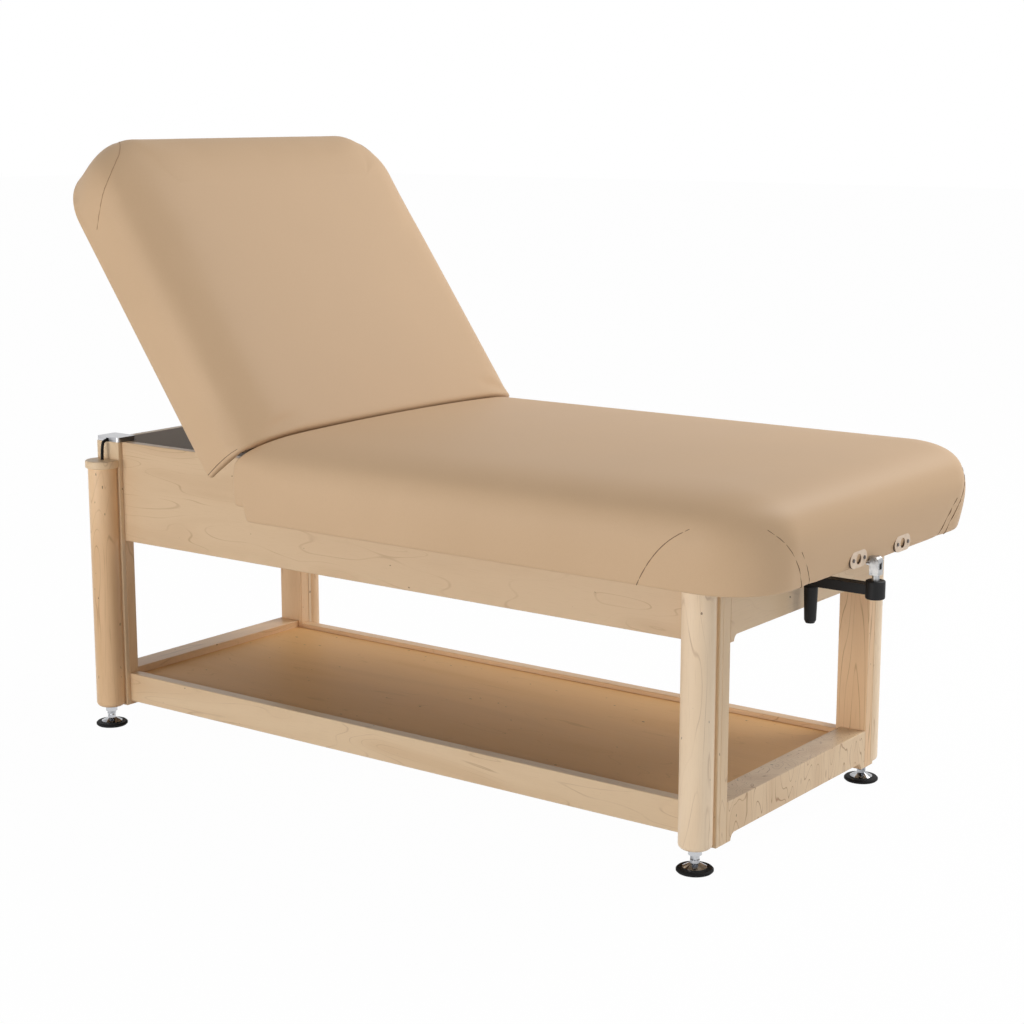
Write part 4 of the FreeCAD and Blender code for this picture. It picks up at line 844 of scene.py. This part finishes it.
# End, side and length in metres of each hose; height in the box and place of the pump's port for each end.
HOSES = {
    "head_front": (-1, -1, 1.765),
    "head_rear": (-1, 1, 1.835),
    "foot_front": (1, -1, 0.405),
    "foot_rear": (1, 1, 0.475),
}
BOX_Z = {-1: 590.0, 1: 576.0}
PORT_X = {-1: 667.5, 1: 712.5}
for label, (end, side, length) in HOSES.items():
    leg = end * LEG_X
    drop = side * DROP_Y
    level = BOX_Z[end]
    route = [(leg, side * LEG_Y, CAP_Z), (leg, side * LEG_Y, RISE_Z), (leg, side * BEND_Y, OVER_Z),
             (leg, drop, COVER_Z), (leg, drop, level), (PORT_X[end], drop, level),
             (PORT_X[end], PUMP_Y + side * PORT_Y, level)]
    curve = bpy.data.curves.new("lift_hose_" + label, "CURVE")
    curve.dimensions = "3D"
    spline = curve.splines.new("POLY")
    path = rounded(route)
    spline.points.add(len(path) - 1)
    for point, spot in zip(spline.points, path):
        point.co = (*row(*spot), 1)
    curve.bevel_depth = HOSE_DIAMETER / 2
    curve.bevel_resolution = 4
    curve.use_fill_caps = True
    hose = bpy.data.objects.new("lift_hose_" + label, curve)
    scene.collection.objects.link(hose)
    curve.materials.append(rubber)
    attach(hose, "table_frame")
    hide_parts("lift_hoses")


# Stage: a pale floor and a white surround that glossy things see too.
def seen(tree):
    """1 for what the camera sees, straight or in something glossy, else 0."""
    path = add(tree, "ShaderNodeLightPath")
    return calculate(tree, "MAXIMUM", path.outputs["Is Camera Ray"], path.outputs["Is Glossy Ray"])


def show(tree, share, first, second, output):
    """The second of two shaders by a share, to the tree's output."""
    blend = add(tree, "ShaderNodeMixShader")
    for socket, value in zip(blend.inputs, (share, first.outputs[0], second.outputs[0])):
        tree.links.new(value, socket)
    tree.links.new(blend.outputs[0], tree.nodes[output].inputs["Surface"])


FLOOR_GREY = 0.9
FLOOR_GLOW = 0.985
FLOOR_REACH = 30.0
FLOOR_DROP = 0.0005
SURROUND_LIGHT = 0.26

pale_floor, tree, shader = new_material("pale_floor")
shader.inputs["Base Color"].default_value = (*grey(FLOOR_GREY), 1)
shader.inputs["Roughness"].default_value = 0.8
glow = add(tree, "ShaderNodeEmission")
show(tree, calculate(tree, "MULTIPLY", seen(tree), FLOOR_GLOW), shader, glow, "Material Output")

floor_mesh = bpy.data.meshes.new("floor")
corners = [(x * FLOOR_REACH, y * FLOOR_REACH, 0) for x, y in ((-1, -1), (1, -1), (1, 1), (-1, 1))]
floor_mesh.from_pydata(corners, [], [(0, 1, 2, 3)])
floor_mesh.materials.append(pale_floor)
floor = bpy.data.objects.new("floor", floor_mesh)
scene.collection.objects.link(floor)
floor.location.z = -FLOOR_DROP

world = bpy.data.worlds.new("surround")
scene.world = world
world.use_nodes = True
tree = world.node_tree
light = tree.nodes["Background"]
light.inputs["Color"].default_value = (*WHITE, 1)
light.inputs["Strength"].default_value = SURROUND_LIGHT
white = add(tree, "ShaderNodeBackground")
white.inputs["Color"].default_value = (*WHITE, 1)
show(tree, seen(tree), light, white, "World Output")

AIM = Vector((0.0, 0.0, 0.6))


def lamp(name, place, size, power):
    """A round soft lamp that looks at the middle of the table."""
    data = bpy.data.lights.new(name, "AREA")
    data.shape = "DISK"
    data.size = size
    data.energy = power
    thing = bpy.data.objects.new(name, data)
    scene.collection.objects.link(thing)
    thing.location = place
    thing.rotation_euler = (AIM - Vector(place)).to_track_quat("-Z", "Y").to_euler()


lamp("overhead", (2.0, 3.0, 4.0), size=3.2, power=160.0)
lamp("front", (-1.2, -5.0, 0.5), size=3.0, power=160.0)
lamp("side", (5.2, -0.8, 0.8), size=3.0, power=38.0)

# The photograph's camera: its place, its tip up from looking straight down, its turn and its lens.
CAMERA_PLACE = (2651.0, -3418.0, 1377.0)
CAMERA_TIP, CAMERA_TURN = 78.9, 36.6
CAMERA_LENS, SENSOR_WIDTH = 72.84, 36.0
camera_data = bpy.data.cameras.new("camera")
camera = bpy.data.objects.new("camera", camera_data)
scene.collection.objects.link(camera)
camera.location = row(*CAMERA_PLACE)
camera.rotation_euler = (math.radians(CAMERA_TIP), 0.0, math.radians(CAMERA_TURN))
camera_data.sensor_width = SENSOR_WIDTH
camera_data.lens = CAMERA_LENS
scene.camera = camera
scene.view_settings.view_transform = "Standard"
